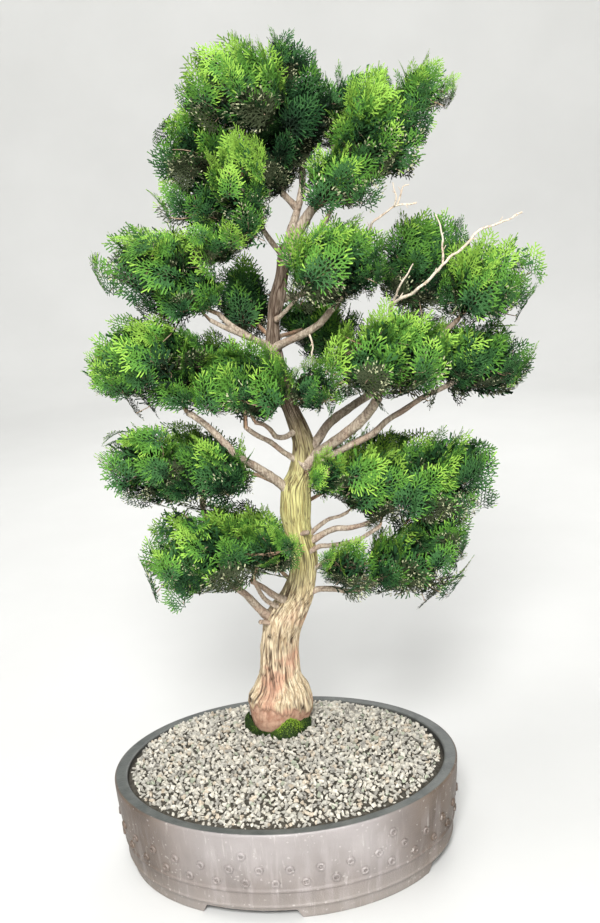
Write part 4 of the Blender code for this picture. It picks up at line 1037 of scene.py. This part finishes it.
# %% Build the dead twigs
SHOOTS = [
    (1.4, 0.7, [(205, -12, 679), (205, -15, 697), (204, -20, 712), (198, -20, 732)]),
    (1.5, 0.7, [(154, 32, 634), (159, 18, 652), (167, 12, 666), (176, 10, 680)]),
    (1.1, 0.6, [(159, 15, 741), (161, 10, 752), (158, 10, 766)]),
    (1.1, 0.6, [(162, 15, 742), (167, 10, 756), (169, 10, 761), (175, 10, 763)])]
dead_wood = limb_finish("bleached_wood", (0.50, 0.41, 0.31), (0.74, 0.66, 0.54), (0.52, 0.37, 0.26),
                        (0.22, 0.16, 0.12))
draw = np.random.default_rng(31)
tubes = []
for number, limb in enumerate([LIMBS[name] for name in DEAD_TWIGS] + SHOOTS):
    path, gone, radius = tapered_path(*limb, 2.5, 0.8)
    kink = np.stack([lumps(xyz(gone / 13, number, axis)) for axis in range(3)], axis=1)
    path = path + kink * 1.5 * np.minimum(1, gone / 12)[:, None]
    radius *= 1 + 0.22 * np.exp(-((gone % 17 - 8.5) / 1.6) ** 2)
    tubes.append(limb_tube(path, radius, 10, 0.12, 5.1 * number))
    along, side, other = carried_frames(path)
    for step in range(6, len(path) - 3, 7):
        turn = draw.uniform(0, 2 * math.pi)
        heading = (side[step] * math.cos(turn) + other[step] * math.sin(turn)) * 0.8 + along[step] * 0.6
        length = draw.uniform(2.5, 9.0) * min(1.0, radius[step] / 1.2)
        bend = path[step] + heading * length + (0, 0, length * draw.uniform(-0.1, 0.25))
        middle = (path[step] + bend) / 2 + draw.normal(size=3) * 0.3
        spur = np.array([path[step], middle, bend])
        tubes.append(limb_tube(spur, radius[step] * np.array([0.55, 0.42, 0.25]), 10, 0.1, step))
new_piece("dead_twigs", *joined(tubes), dead_wood, "dead_wood", *DEAD_TWIGS)

# %% [markdown]
# ## The leaves
# A hinoki has no single leaves to speak of: tiny green scales clothe flat fronds that branch and
# branch again in one plane, like a fern. Here a frond grows from one rule. A rib puts out finer
# ribs left and right in turn, and each of those ends and is fringed with blunt fingers. A finger
# is an opaque strip in its own outline. Eight fronds, turned, bent and sized anew for each place,
# give a crown that never repeats to the eye.

# %% Grow one frond
FROND_LENGTH, OPEN_ANGLE = 60.0, 44.0


def frond(seed, step=3.4, width=2.0, fringe=7.2, ribs=2):
    """Fingers of a flat frond, four corners each, and how near the frond's edge each one sits."""
    draw = np.random.default_rng(seed)
    corners, places = [], []

    def add(start, heading, size, broad):
        """One finger: a strip that widens a little to a blunt, slanted tip."""
        along = np.array([math.cos(heading), math.sin(heading), 0.0])
        across = np.array([-along[1], along[0], 0.0])
        lift = np.array([0, 0, draw.uniform(-0.10, 0.16) * size])
        tip = start + along * size + across * draw.uniform(-0.1, 0.1) * size + lift
        roll = np.array([0, 0, draw.uniform(-0.3, 0.3) * broad])
        slant = along * broad * draw.uniform(-0.45, 0.45)
        foot, head = across * broad * 0.30, across * broad * 0.42 + slant + roll
        corners.append([start - foot, start + foot, tip + head, tip - head])
        places.append(start + along * size * 0.66)

    def grow(start, heading, size, order, side):
        """A rib with fingers or finer ribs left and right in turn."""
        at, gone, number = start, 0.0, 0
        while gone < size:
            along = np.array([math.cos(heading), math.sin(heading), 0.0])
            if number % 2 == 0:
                add(at, heading, min(step * 2.6, size - gone + step), 1.5)
            turn = heading + side * math.radians(OPEN_ANGLE - 9 * gone / size + draw.uniform(-5, 5))
            longest = (size - gone) * (0.60 if order == 0 else 0.42)
            if order < ribs and longest > 1.7 * step and (order == 0 or number % 2):
                grow(at, turn, longest * draw.uniform(0.85, 1.1), order + 1, -side)
            elif gone > 0.4 * step:
                add(at, turn, fringe * draw.uniform(0.78, 1.08), width * draw.uniform(0.85, 1.12))
            side = -side
            at = at + along * step
            gone += step
            number += 1
            heading += draw.uniform(-0.03, 0.03)
        add(at, heading, fringe * draw.uniform(0.8, 1.05), width)

    grow(np.zeros(3), 0.0, FROND_LENGTH * 0.90, 0, 1 if seed % 2 else -1)
    x, y, _ = np.array(places).T
    x = x + 0.15 * FROND_LENGTH
    edge = FROND_LENGTH * (1.15 - 0.42 * np.minimum(1.4, np.abs(np.arctan2(y, x)) / 0.75) ** 2)
    return np.array(corners), np.clip(np.hypot(x, y) / edge, 0, 1.1)


FRONDS = [frond(seed) for seed in range(8)]
INNER_FRONDS = [frond(seed, step=7.5, width=4.2, fringe=10.0, ribs=1) for seed in range(20, 24)]
print("fingers per frond:", [len(out) for _, out in FRONDS], "inner:", [len(out) for _, out in INNER_FRONDS])

# %% [markdown]
# ## Where the fronds sit
# The solids' rule is used again and carried further. Round each lobe the fronds are spread evenly
# along a spiral over a sphere, and each mass keeps to its own space. All of them grow away from
# where the bough comes in, outwards and up, so neighbours flow the same way, as on one branch.
# On the front of a lobe they lie like shingles with their faces out, on its top they stand up,
# and underneath they droop. Soft noise pushes the lobe's surface in and out, which breaks the
# round shape into plumes with dark clefts between them.

# %% The masses: what feeds each, then its lobes as middle (x, y, z) and half sizes
MASSES = {
    "crown_left": ("leader_crown_left", [(-4, 28, 876, 52, 50, 50), (-44, 35, 820, 47, 44, 42),
        (-53, 50, 768, 37, 40, 34)]),
    "crown_front": ("leader_left", [(-2, -30, 782, 30, 34, 44), (-4, -22, 736, 22, 30, 28)]),
    "crown_middle": ("leader_middle", [(70, 112, 850, 36, 50, 56), (58, 100, 903, 25, 40, 32),
        (31, 95, 805, 38, 44, 44)]),
    "crown_right": ("leader_right_1", [(118, 38, 785, 46, 42, 38), (152, 35, 828, 48, 50, 54),
        (203, 40, 866, 30, 30, 32)]),
    "crown_back": ("leader_back", [(135, 170, 850, 52, 52, 46)]),
    "upper_left": ("bough_upper_left_1", [(-82, 50, 668, 48, 48, 31), (-106, 40, 704, 54, 52, 34),
        (-46, 55, 722, 31, 40, 33)]),
    "upper_left_inner": (600, [(-14, 130, 645, 36, 48, 40)]),
    "upper_right": ("bough_upper_right_1", [(100, 0, 692, 52, 48, 49)]),
    "upper_right_back": ("bough_upper_back", [(205, 150, 672, 50, 52, 58)]),
    "right_tip": ("bough_right_tip", [(262, 50, 655, 46, 50, 47)]),
    "right_under": ("bough_right_under", [(258, 60, 568, 50, 50, 44)]),
    "right_front": ("bough_right_front", [(147, -30, 595, 62, 52, 48)]),
    "right_inner": (536, [(64, -12, 560, 34, 38, 25)]),
    "left_middle": ("bough_left_long", [(-98, 30, 572, 50, 46, 28), (-117, 20, 606, 57, 54, 41),
        (-152, 15, 588, 34, 40, 32)]),
    "left_inner": ("bough_left_inner_1", [(-17, 0, 570, 48, 42, 44)]),
    "left_low": ("bough_left_low", [(-70, 10, 470, 52, 46, 38), (-136, 0, 492, 42, 48, 36),
        (-116, 5, 460, 44, 40, 25)]),
    "left_bottom": ("bough_left_1", [(-71, -12, 388, 60, 54, 44), (-5, -33, 384, 38, 30, 29),
        (-98, -10, 360, 36, 40, 28)]),
    "right_low": ("bough_right_low_2", [(134, 20, 442, 55, 48, 38), (210, 32, 456, 57, 52, 31),
        (197, 30, 424, 47, 44, 31)]),
    "right_tuft": (446, [(71, -2, 461, 22, 30, 25)]),
    "right_bottom": ("bough_right_bottom_1", [(166, 14, 351, 60, 52, 40), (92, 0, 348, 36, 33, 29),
        (198, 20, 377, 39, 40, 33)]),
    "back_upper": (602, [(75, 168, 607, 46, 50, 38)]),
    "back_middle_left": (556, [(-72, 166, 558, 60, 54, 40)]),
    "back_middle_right": (520, [(180, 178, 560, 66, 52, 42)]),
    "back_low_left": (420, [(-92, 150, 450, 54, 50, 38)]),
    "back_low_right": (400, [(142, 162, 424, 64, 54, 40)]),
    "back_bottom": (300, [(-42, 142, 344, 56, 50, 38)])}
LOBES = np.array([lobe for _, lobes in MASSES.values() for lobe in lobes], dtype=float)
LOBE_MASS = np.array([number for number, (_, lobes) in enumerate(MASSES.values()) for _ in lobes])
print(len(MASSES), "masses with", len(LOBES), "lobes")

# %% How deep a point lies in each lobe
FAR = 99                                         # stands for a lobe that doesn't count


def lobe_depths(points):
    """0 in the middle of a lobe and 1 on its surface, for every point and lobe."""
    return np.linalg.norm((points[:, None] - LOBES[None, :, :3]) / LOBES[None, :, 3:], axis=2)


def in_own_space(points, mass, room):
    """True where a point is not much deeper in another mass than in its own."""
    depth = lobe_depths(points)
    own = LOBE_MASS[None] == mass[:, None]
    nearest = np.where(own, depth, FAR).min(axis=1)
    margin = (depth - nearest[:, None]) * LOBES[:, 3:].mean(axis=1)[None]
    return np.where(own, FAR, margin).min(axis=1) > room


def trunk_middle(height):
    """The middle of the trunk at a height: x and y."""
    return np.stack([np.interp(height, TRUNK[:, 0], TRUNK[:, column]) for column in (1, 2)], axis=-1)


def off_the_trunk(points, room):
    """True where a point keeps clear of the trunk."""
    radius = np.interp(points[:, 2], TRUNK[:, 0], TRUNK[:, 3] / 2, right=-FAR)
    return np.linalg.norm(points[:, :2] - trunk_middle(points[:, 2]), axis=1) > radius + room


print("trunk middle 0.4 m up:", trunk_middle(400))

# %% Directions
TRUNK_MIDDLE = np.array([30.0, 60.0])
GOLDEN = math.pi * (3 - math.sqrt(5))
EDGE_SHARE = 1.27                                # no frond ends beyond this share of a lobe's half sizes
UPRIGHT = np.array([0.0, 0.0, 1.0])


def soft_field(points, size, seed):
    """A smooth random direction at every point, so that neighbours lean alike."""
    return np.stack([lumps(points / size + (seed, 17 * axis, 5)) for axis in range(3)], axis=1)


def dot(first, second):
    return np.sum(first * second, axis=1)[:, None]


print("turn from one frond to the next:", round(math.degrees(GOLDEN), 1), "degrees")

# %% Spread the fronds over the lobes
PLUMES = ((0.15, 52, 50), (0.28, 27, 3), (0.12, 13, 9))    # how high, how wide, and a shift
STAND, STAND_ON_TOP, STAND_SPREAD = 36, 26, 13   # degrees that a frond stands off its lobe
CLEAR_OF_SISTER = 0.72                           # no frond this deep inside another lobe of its mass


def spread_fronds(draw, patch, shares, length_range):
    """Places for fronds over all lobes: root, axis, face, length, lobe, outward direction and tip."""
    found = []
    for number, lobe in enumerate(LOBES):
        size = lobe[3:].mean()
        count = max(6, round(4 * math.pi * size ** 2 / patch ** 2))
        high = 1 - 2 * (np.arange(count) + 0.5) / count
        turn = GOLDEN * np.arange(count) + draw.uniform(0, 6.28)
        flat = np.sqrt(1 - high ** 2)
        out = unit(xyz(flat * np.cos(turn), flat * np.sin(turn), high) + draw.normal(size=(count, 3)) * 0.15)
        at = lobe[:3] + out * lobe[3:]
        plume = sum(tall * lumps(at / wide + shift) for tall, wide, shift in PLUMES)
        share = np.clip(draw.uniform(*shares, count) + plume, 0.3, EDGE_SHARE)[:, None]
        tip = lobe[:3] + out * lobe[3:] * share
        normal = unit(out / lobe[3:])
        away = np.array([*(lobe[:2] - TRUNK_MIDDLE), 0.0])
        away = away / max(np.linalg.norm(away), 50.0)
        rise = UPRIGHT * (0.75 + 0.70 * np.minimum(out[:, 2:], 0.0))
        from_hub = unit(tip - (lobe[:3] - away * size * 0.5 - (0, 0, 0.4 * lobe[5])))
        grow = from_hub + away * 0.40 + rise * 0.6 + 0.65 * soft_field(tip, 48, number // 3)
        grow += draw.normal(size=(count, 3)) * 0.18
        along = unit(grow - normal * dot(grow, normal))
        stand = STAND + STAND_ON_TOP * np.clip(out[:, 2], 0, 1) ** 1.5
        stand += draw.normal(size=count) * STAND_SPREAD
        lean = np.radians(np.clip(stand, 5, 80))[:, None]
        axis = along * np.cos(lean) + normal * np.sin(lean)
        face = normal * np.cos(lean) - along * np.sin(lean)
        face = unit(face - axis * dot(face, axis))
        roll = (0.5 * lumps(tip / 30 + 40) + 0.42 * draw.normal(size=count))[:, None]
        face = face * np.cos(roll) + np.cross(axis, face) * np.sin(roll)
        length = draw.uniform(*length_range, count) * np.clip(size / 44, 0.72, 1.05)
        root = tip - axis * (length * 0.97)[:, None]
        found.append((root, axis, face, length, np.full(count, number), out, tip))
    places = [np.concatenate(column) for column in zip(*found)]
    root, axis, face, length, lobe, out, tip = places
    middle = root + axis * (length * 0.6)[:, None]
    mass = LOBE_MASS[lobe]
    sister = (LOBE_MASS[None] == mass[:, None]) & (np.arange(len(LOBES))[None] != lobe[:, None])
    keep = np.where(sister, lobe_depths(tip), FAR).min(axis=1) >= CLEAR_OF_SISTER
    keep &= in_own_space(tip, mass, -7.0) & in_own_space(middle, mass, -9.0)
    keep &= off_the_trunk(tip, 2.0) & off_the_trunk(middle, 3.0)
    return [column[keep] for column in places]


draw = np.random.default_rng(593)
outer = spread_fronds(draw, 21.4, (0.94, 1.18), (38.0, 56.0))
inner = spread_fronds(draw, 27.0, (0.50, 0.76), (40.0, 56.0))
print(len(outer[0]), "outer fronds and", len(inner[0]), "inner ones")


# %% Turn a frond to its place
def place_fronds(draw, fronds, places):
    """Corners of every finger, how near its frond's edge it sits, and the frond it belongs to."""
    root, axis, face, length, _, out_way, _ = places
    kind = draw.integers(0, len(fronds), len(root))
    droop = draw.uniform(-0.25, 0.30, len(root)) - 0.25 * np.minimum(out_way[:, 2], 0)
    cup = draw.uniform(0.0, 0.7, len(root))
    twist = draw.uniform(-0.5, 0.5, len(root))
    corners, out, owner = [], [], []
    for number, (fingers, sits) in enumerate(fronds):
        chosen = np.flatnonzero(kind == number)
        size, sag, hollow, wring = (values[chosen][:, None, None] for values in (length, droop, cup, twist))
        x, y, z = (fingers[None, ..., column] * (size / FROND_LENGTH) for column in range(3))
        bent = z - sag * x ** 2 / size - hollow * y ** 2 / size + wring * x * y / size
        frame = np.stack([axis[chosen], np.cross(face[chosen], axis[chosen]), face[chosen]], axis=1)
        moved = np.einsum("nfcj,njk->nfck", xyz(x, y, bent), frame) + root[chosen][:, None, None]
        corners.append(moved.reshape(-1, 4, 3))
        out.append(np.tile(sits, len(chosen)))
        owner.append(np.repeat(chosen, len(sits)))
    return np.concatenate(corners), np.concatenate(out), np.concatenate(owner)


outer_fingers, outer_sits, outer_owner = place_fronds(draw, FRONDS, outer)
inner_fingers, inner_sits, inner_owner = place_fronds(draw, INNER_FRONDS, inner)
print(len(outer_fingers), "outer fingers,", len(inner_fingers), "inner ones")

# %% [markdown]
# ## Leaf colours
# New growth is lime green and sits at the tips. Beyond that the greens are painted light and
# shade: lighter on the sunny tops, towards the front and in sunny masses, fuller below, and deep
# and bluish inside the crown and in shaded masses. The undersides are duller, with pale buds,
# and here and there a frond has died to a red brown. A colour that has a place is dealt out by
# frond and by finger, as a finish of its own, so that it stays put when the model is carried
# elsewhere. Each finish adds the fine scaly relief and an uneven gloss.

# %% Leaf finishes
# The first five greens are shaded and lit copies of one leaf green, dealt out below as painted light and
# shade; lime at the tips is also new growth.
LEAF_GREENS = {
    "deep": (0.004, 0.013, 0.005), "dark": (0.012, 0.042, 0.014), "mid": (0.036, 0.104, 0.030),
    "fresh": (0.085, 0.215, 0.032), "lime": (0.235, 0.420, 0.060), "cream": (0.390, 0.405, 0.240),
    "olive": (0.042, 0.054, 0.026), "russet": (0.190, 0.090, 0.050)}
CREAM, OLIVE, RUSSET = 5, 6, 7                   # the numbers of the colours that aren't dealt by light


def leaf_finish(name, green):
    """One leaf green, with the relief of tiny scales and a gloss that varies."""
    leaf = Finish("leaf_" + name, 0.6, 0.10)
    scales = leaf.place(specks, Size=760.0, Amount=0.5)
    gloss = leaf.add("MapRange", {"Value": scales["Mask"], "To Min": 0.50, "To Max": 0.72})["Result"]
    leaf.plug(leaf.shader["Roughness"], gloss)
    return leaf.wear(green, scales["Height"], 0.0004, 0.5)


leaf_finishes = {name: leaf_finish(name, green) for name, green in LEAF_GREENS.items()}
print("leaf finishes:", ", ".join(leaf_finishes))

# %% Painted light on each frond
# Painted shade and light: a mass with a plus value gets darker greens, as if shaded, and one with a minus
# value lighter ones, as if in sun.
SHADE = {"crown_middle": 0.34, "crown_back": 0.20, "upper_left_inner": 0.20, "upper_right_back": 0.12,
         "left_inner": 0.08, "right_under": 0.10, "crown_right": -0.10, "crown_front": -0.14,
         "right_tip": -0.06, "right_front": -0.05, "right_tuft": -0.26, "left_bottom": -0.04}
mass_shade = np.array([SHADE.get(name, 0.0) for name in MASSES])
print("masses in the shade:", [name for name in MASSES if SHADE.get(name, 0) > 0])


def frond_light(draw, places):
    """How sunny a frond's place is, from about 0 to 1, as painted light and shade."""
    lobe, out, tip = places[4:]
    depth = lobe_depths(tip).min(axis=1)
    crown = np.clip((tip[:, 2] - 330) / 600, 0, 1)
    front = np.clip((60 - tip[:, 1]) / 120, -1, 1)
    return (0.32 + 0.32 * out[:, 2] + 0.70 * np.maximum(depth - 0.95, -0.28) + 0.14 * lumps(tip / 34)
            + 0.08 * crown + 0.06 * front - mass_shade[LOBE_MASS[lobe]] + draw.normal(size=len(tip)) * 0.06)


def deal_colours(draw, sits, light, steps):
    """The colour number of every finger: brighter towards a frond's edge, as new growth, and on a sunny
    frond, as painted light.
    """
    return np.digitize(light + 0.72 * (sits - 0.70) + draw.normal(size=len(sits)) * 0.04, steps)


print("shade from", mass_shade.min(), "to", mass_shade.max())

# %% Deal the colours
DULL_SHARE, BUD_SHARE, DYING_SHARE = 0.62, 0.26, 0.003
outer_light = frond_light(draw, outer)
# Painted shade: inner fronds are dealt darker greens, a little less where they face up.
inner_light = frond_light(draw, inner) - 0.16 + 0.16 * np.clip(inner[5][:, 2], 0, 1)
outer_colour = deal_colours(draw, outer_sits, outer_light[outer_owner], (0.11, 0.31, 0.53, 0.75))
inner_colour = deal_colours(draw, inner_sits, inner_light[inner_owner], (0.18, 0.42, 0.80, 1.4))
facing = outer[5][:, 2]
under = facing < -0.08
dull = under & (draw.random(len(facing)) < DULL_SHARE)
outer_colour[dull[outer_owner] & (outer_sits < 0.85)] = OLIVE
buds = under[outer_owner] & (outer_sits > 0.6) & (draw.random(len(outer_owner)) < BUD_SHARE)
outer_colour[buds] = CREAM
foot_1, foot_2, head_1, head_2 = outer_fingers[buds].transpose(1, 0, 2)    # a bud is a finger's outer half
outer_fingers[buds] = np.stack([(foot_1 + head_2) / 2, (foot_2 + head_1) / 2, head_1, head_2], axis=1)
dying = (facing < 0.15) & (draw.random(len(facing)) < DYING_SHARE)
outer_colour[dying[outer_owner]] = RUSSET
print("fingers of each colour:", np.bincount(outer_colour, minlength=8))

# %% Build the leaf pieces
MOST_TRIANGLES = 195000
all_corners = np.concatenate([outer_fingers, inner_fingers])
all_colours = np.concatenate([outer_colour, inner_colour])
for number, name in enumerate(LEAF_GREENS):
    chosen = all_corners[all_colours == number]
    chosen = chosen[np.argsort(chosen[:, 2, 2], kind="stable")]
    parts = max(1, math.ceil(len(chosen) * 2 / MOST_TRIANGLES))
    for part, share in enumerate(np.array_split(chosen, parts)):
        title = f"leaves_{name}" + (f"_{part + 1}" if parts > 1 else "")
        new_piece(title, share, None, leaf_finishes[name], "foliage",
                  *(FOLIAGE if name in ("mid", "fresh") else ()), smooth=False)

# %% [markdown]
# ## The fine twigs
# Under the leaves each bough goes on as a stem into its mass, forks to a hub in each lobe, then to
# small clusters, and from there one thin twig runs to each frond. Only the open places show
# them, but without them the crown would float.

# %% One bundle of twigs
def bent_twigs(draw, starts, ends, start_radius, end_radius, sway):
    """Three-sided tapering twigs with one bend each, as rings of points."""
    starts, ends = np.broadcast_arrays(np.atleast_2d(starts), np.atleast_2d(ends))
    run = ends - starts
    length = np.linalg.norm(run, axis=1, keepdims=True)
    along = run / np.maximum(length, 1e-6)
    side = unit(np.cross(along, draw.normal(size=run.shape)))
    other = np.cross(along, side)
    bend = (side * draw.uniform(-1, 1, (len(run), 1)) + other * draw.uniform(-1, 1, (len(run), 1))) * sway
    stations = []
    for share in (0.0, 0.35, 0.7, 1.0):
        middle = starts + run * share + bend * length * math.sin(share * math.pi)
        radius = start_radius + (end_radius - start_radius) * share
        stations += [middle + (side * math.cos(turn) + other * math.sin(turn)) * radius
                     for turn in (0, 2.094, 4.189)]
    return np.stack(stations, axis=1)


def limb_tip(name):
    return np.array(LIMBS[name][2][-1], dtype=float)


def fed_from(source):
    """Where a mass's stem starts: its bough's tip, or the trunk at a height."""
    return limb_tip(source) if source in LIMBS else np.array([*trunk_middle(source), source])


print("the crown's last leader ends at", limb_tip("leader_back"))

# %% Link the fronds up
draw = np.random.default_rng(88)
bundles = []
hubs = LOBES[:, :3] - (0, 0, 1) * LOBES[:, 5:] * 0.18
for mass, (source, lobes) in enumerate(MASSES.values()):
    first, *others = np.flatnonzero(LOBE_MASS == mass)
    bundles.append(bent_twigs(draw, fed_from(source), hubs[first], 3.0, 2.2, 0.05))
    bundles += [bent_twigs(draw, hubs[first], hubs[lobe], 2.2, 1.7, 0.06) for lobe in others]
feeding = {source for source, _ in MASSES.values()}
for name in [name for name in BOUGHS if name not in feeding]:
    nearest = np.linalg.norm(hubs - limb_tip(name), axis=1).argmin()
    bundles.append(bent_twigs(draw, limb_tip(name), hubs[nearest], LIMBS[name][1] * 0.9, 1.3, 0.06))
roots, axes, _, lengths, lobe_of, *_ = (np.concatenate(pair) for pair in zip(outer, inner))
for lobe, hub in enumerate(hubs):
    own = np.flatnonzero(lobe_of == lobe)
    count = max(4, len(own) // 8)
    centres = hub + (roots[own[draw.choice(len(own), count, replace=False)]] - hub) * 0.55
    nearest = np.linalg.norm(roots[own][:, None] - centres[None], axis=2).argmin(axis=1)
    ends = roots[own] + axes[own] * lengths[own][:, None] * 0.12
    bundles.append(bent_twigs(draw, hub, centres, 1.5, 0.9, 0.08))
    bundles.append(bent_twigs(draw, centres[nearest], ends, 0.8, 0.5, 0.10))
twig_bark = limb_finish("twig_bark", (0.24, 0.16, 0.10), (0.50, 0.38, 0.26), (0.34, 0.17, 0.10),
                        (0.12, 0.07, 0.045))
points = np.concatenate(bundles)
new_piece("fine_twigs", points, copied(ring_faces(4, 3), len(points), 12), twig_bark, "bough_bark")

# %% [markdown]
# ## Floor, light and camera
# The plant stands on a plain pale floor that curves up far behind it, as a paper roll does in a
# studio. A soft key light from the front, above, models the crown, a weak low one opens the
# shade on the pot, one stands overhead, one lights the tips from behind, and one lights the
# paper behind the plant. The floor is stage, not part of the plant.

# %% The floor
FLOOR_REACH, FLOOR_CURVE, FLOOR_TOP, FLOOR_STEPS = 2.6, 1.2, 4.5, 96
bend = np.linspace(0, math.pi / 2, 25)[1:]
profile = [(0.001, 0.0), (1.2, 0.0), (FLOOR_REACH, 0.0),
           *zip(FLOOR_REACH + FLOOR_CURVE * np.sin(bend), FLOOR_CURVE * (1 - np.cos(bend))),
           (FLOOR_REACH + FLOOR_CURVE, FLOOR_TOP)]
turn = full_turn(FLOOR_STEPS)
rings = [xyz(reach * np.cos(turn), reach * np.sin(turn), height) for reach, height in profile]
paper = Finish("pale_paper", 0.95, 0.1)
tone = paper.place(mottle, Colour_A=(0.60, 0.60, 0.585), Colour_B=(0.57, 0.57, 0.555), Size=3.0, Softness=0.3)
paper.plug(paper.shader["Base Color"], tone["Colour"])
floor = mesh_object("studio_floor", *ring_part(rings), paper.material)
floor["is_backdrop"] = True
print("floor reaches", FLOOR_REACH + FLOOR_CURVE, "m")


# %% The lights
def soft_light(name, place, size, watts, aim=(0.0, 0.0, 0.45), spread=180):
    """A square light that faces the plant, or another spot. A small spread keeps its beam narrow."""
    lamp = bpy.data.lights.new(name, "AREA")
    lamp.shape, lamp.size, lamp.energy, lamp.spread = "SQUARE", size, watts, math.radians(spread)
    made = add_object(name, lamp)
    made.location = place
    made.rotation_euler = (Vector(aim) - made.location).to_track_quat("-Z", "Y").to_euler()
    made.visible_camera = False
    print(f"{name}: {watts} W, {size} m wide")


soft_light("key_light", (-0.15, -2.1, 1.95), 0.7, 112)
soft_light("low_light", (0.05, -1.75, 0.30), 0.5, 1.15, aim=(0.0, -0.20, 0.06), spread=50)
soft_light("top_light", (-0.6, -0.3, 2.7), 1.4, 26)
soft_light("rim_light", (0.6, 2.2, 2.2), 1.4, 26)
soft_light("backdrop_light", (0.0, 1.0, 2.6), 1.6, 60, aim=(0.0, 4.0, 0.9))
world = bpy.data.worlds.new("studio")
world.use_nodes = True
sky = world.node_tree.nodes["Background"].inputs
sky["Color"].default_value, sky["Strength"].default_value = (0.90, 0.93, 1.0, 1), 0.15
bpy.context.scene.world = world
bpy.context.scene.view_settings.view_transform = "Standard"

# %% [markdown]
# ## The camera
# It stands a little over a metre in front of the plant, level with the upper boughs, and looks
# down at 15 degrees with a slight roll. The lens is a portrait one, so the pot's oval and the
# crown keep their proportions.

# %% Place the camera
PITCH, ROLL = math.radians(15.0), math.radians(3.905)
CAMERA_PLACE = (0.0409, -1.2303, 0.8025)         # in metres from the middle of the pot
FILM_WIDTH, LENS = 36.0, 44.85
down = Vector((0, -math.sin(PITCH), -math.cos(PITCH)))
forward = Vector((0, math.cos(PITCH), -math.sin(PITCH)))
right = Vector((1, 0, 0)) * math.cos(ROLL) + down * math.sin(ROLL)
up = Vector((1, 0, 0)) * math.sin(ROLL) - down * math.cos(ROLL)
lens = bpy.data.cameras.new("camera")
lens.sensor_width, lens.lens, lens.clip_start = FILM_WIDTH, LENS, 0.05
camera = add_object("camera", lens)
camera.matrix_world = Matrix((right, up, -forward)).transposed().to_4x4()
camera.location = POT_MIDDLE + CAMERA_PLACE
bpy.context.scene.camera = camera
print("camera at", [round(v, 3) for v in camera.location])

# %% Print the sizes and finish
low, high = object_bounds()
print("visual box:", [round(v, 3) for v in low], [round(v, 3) for v in high])
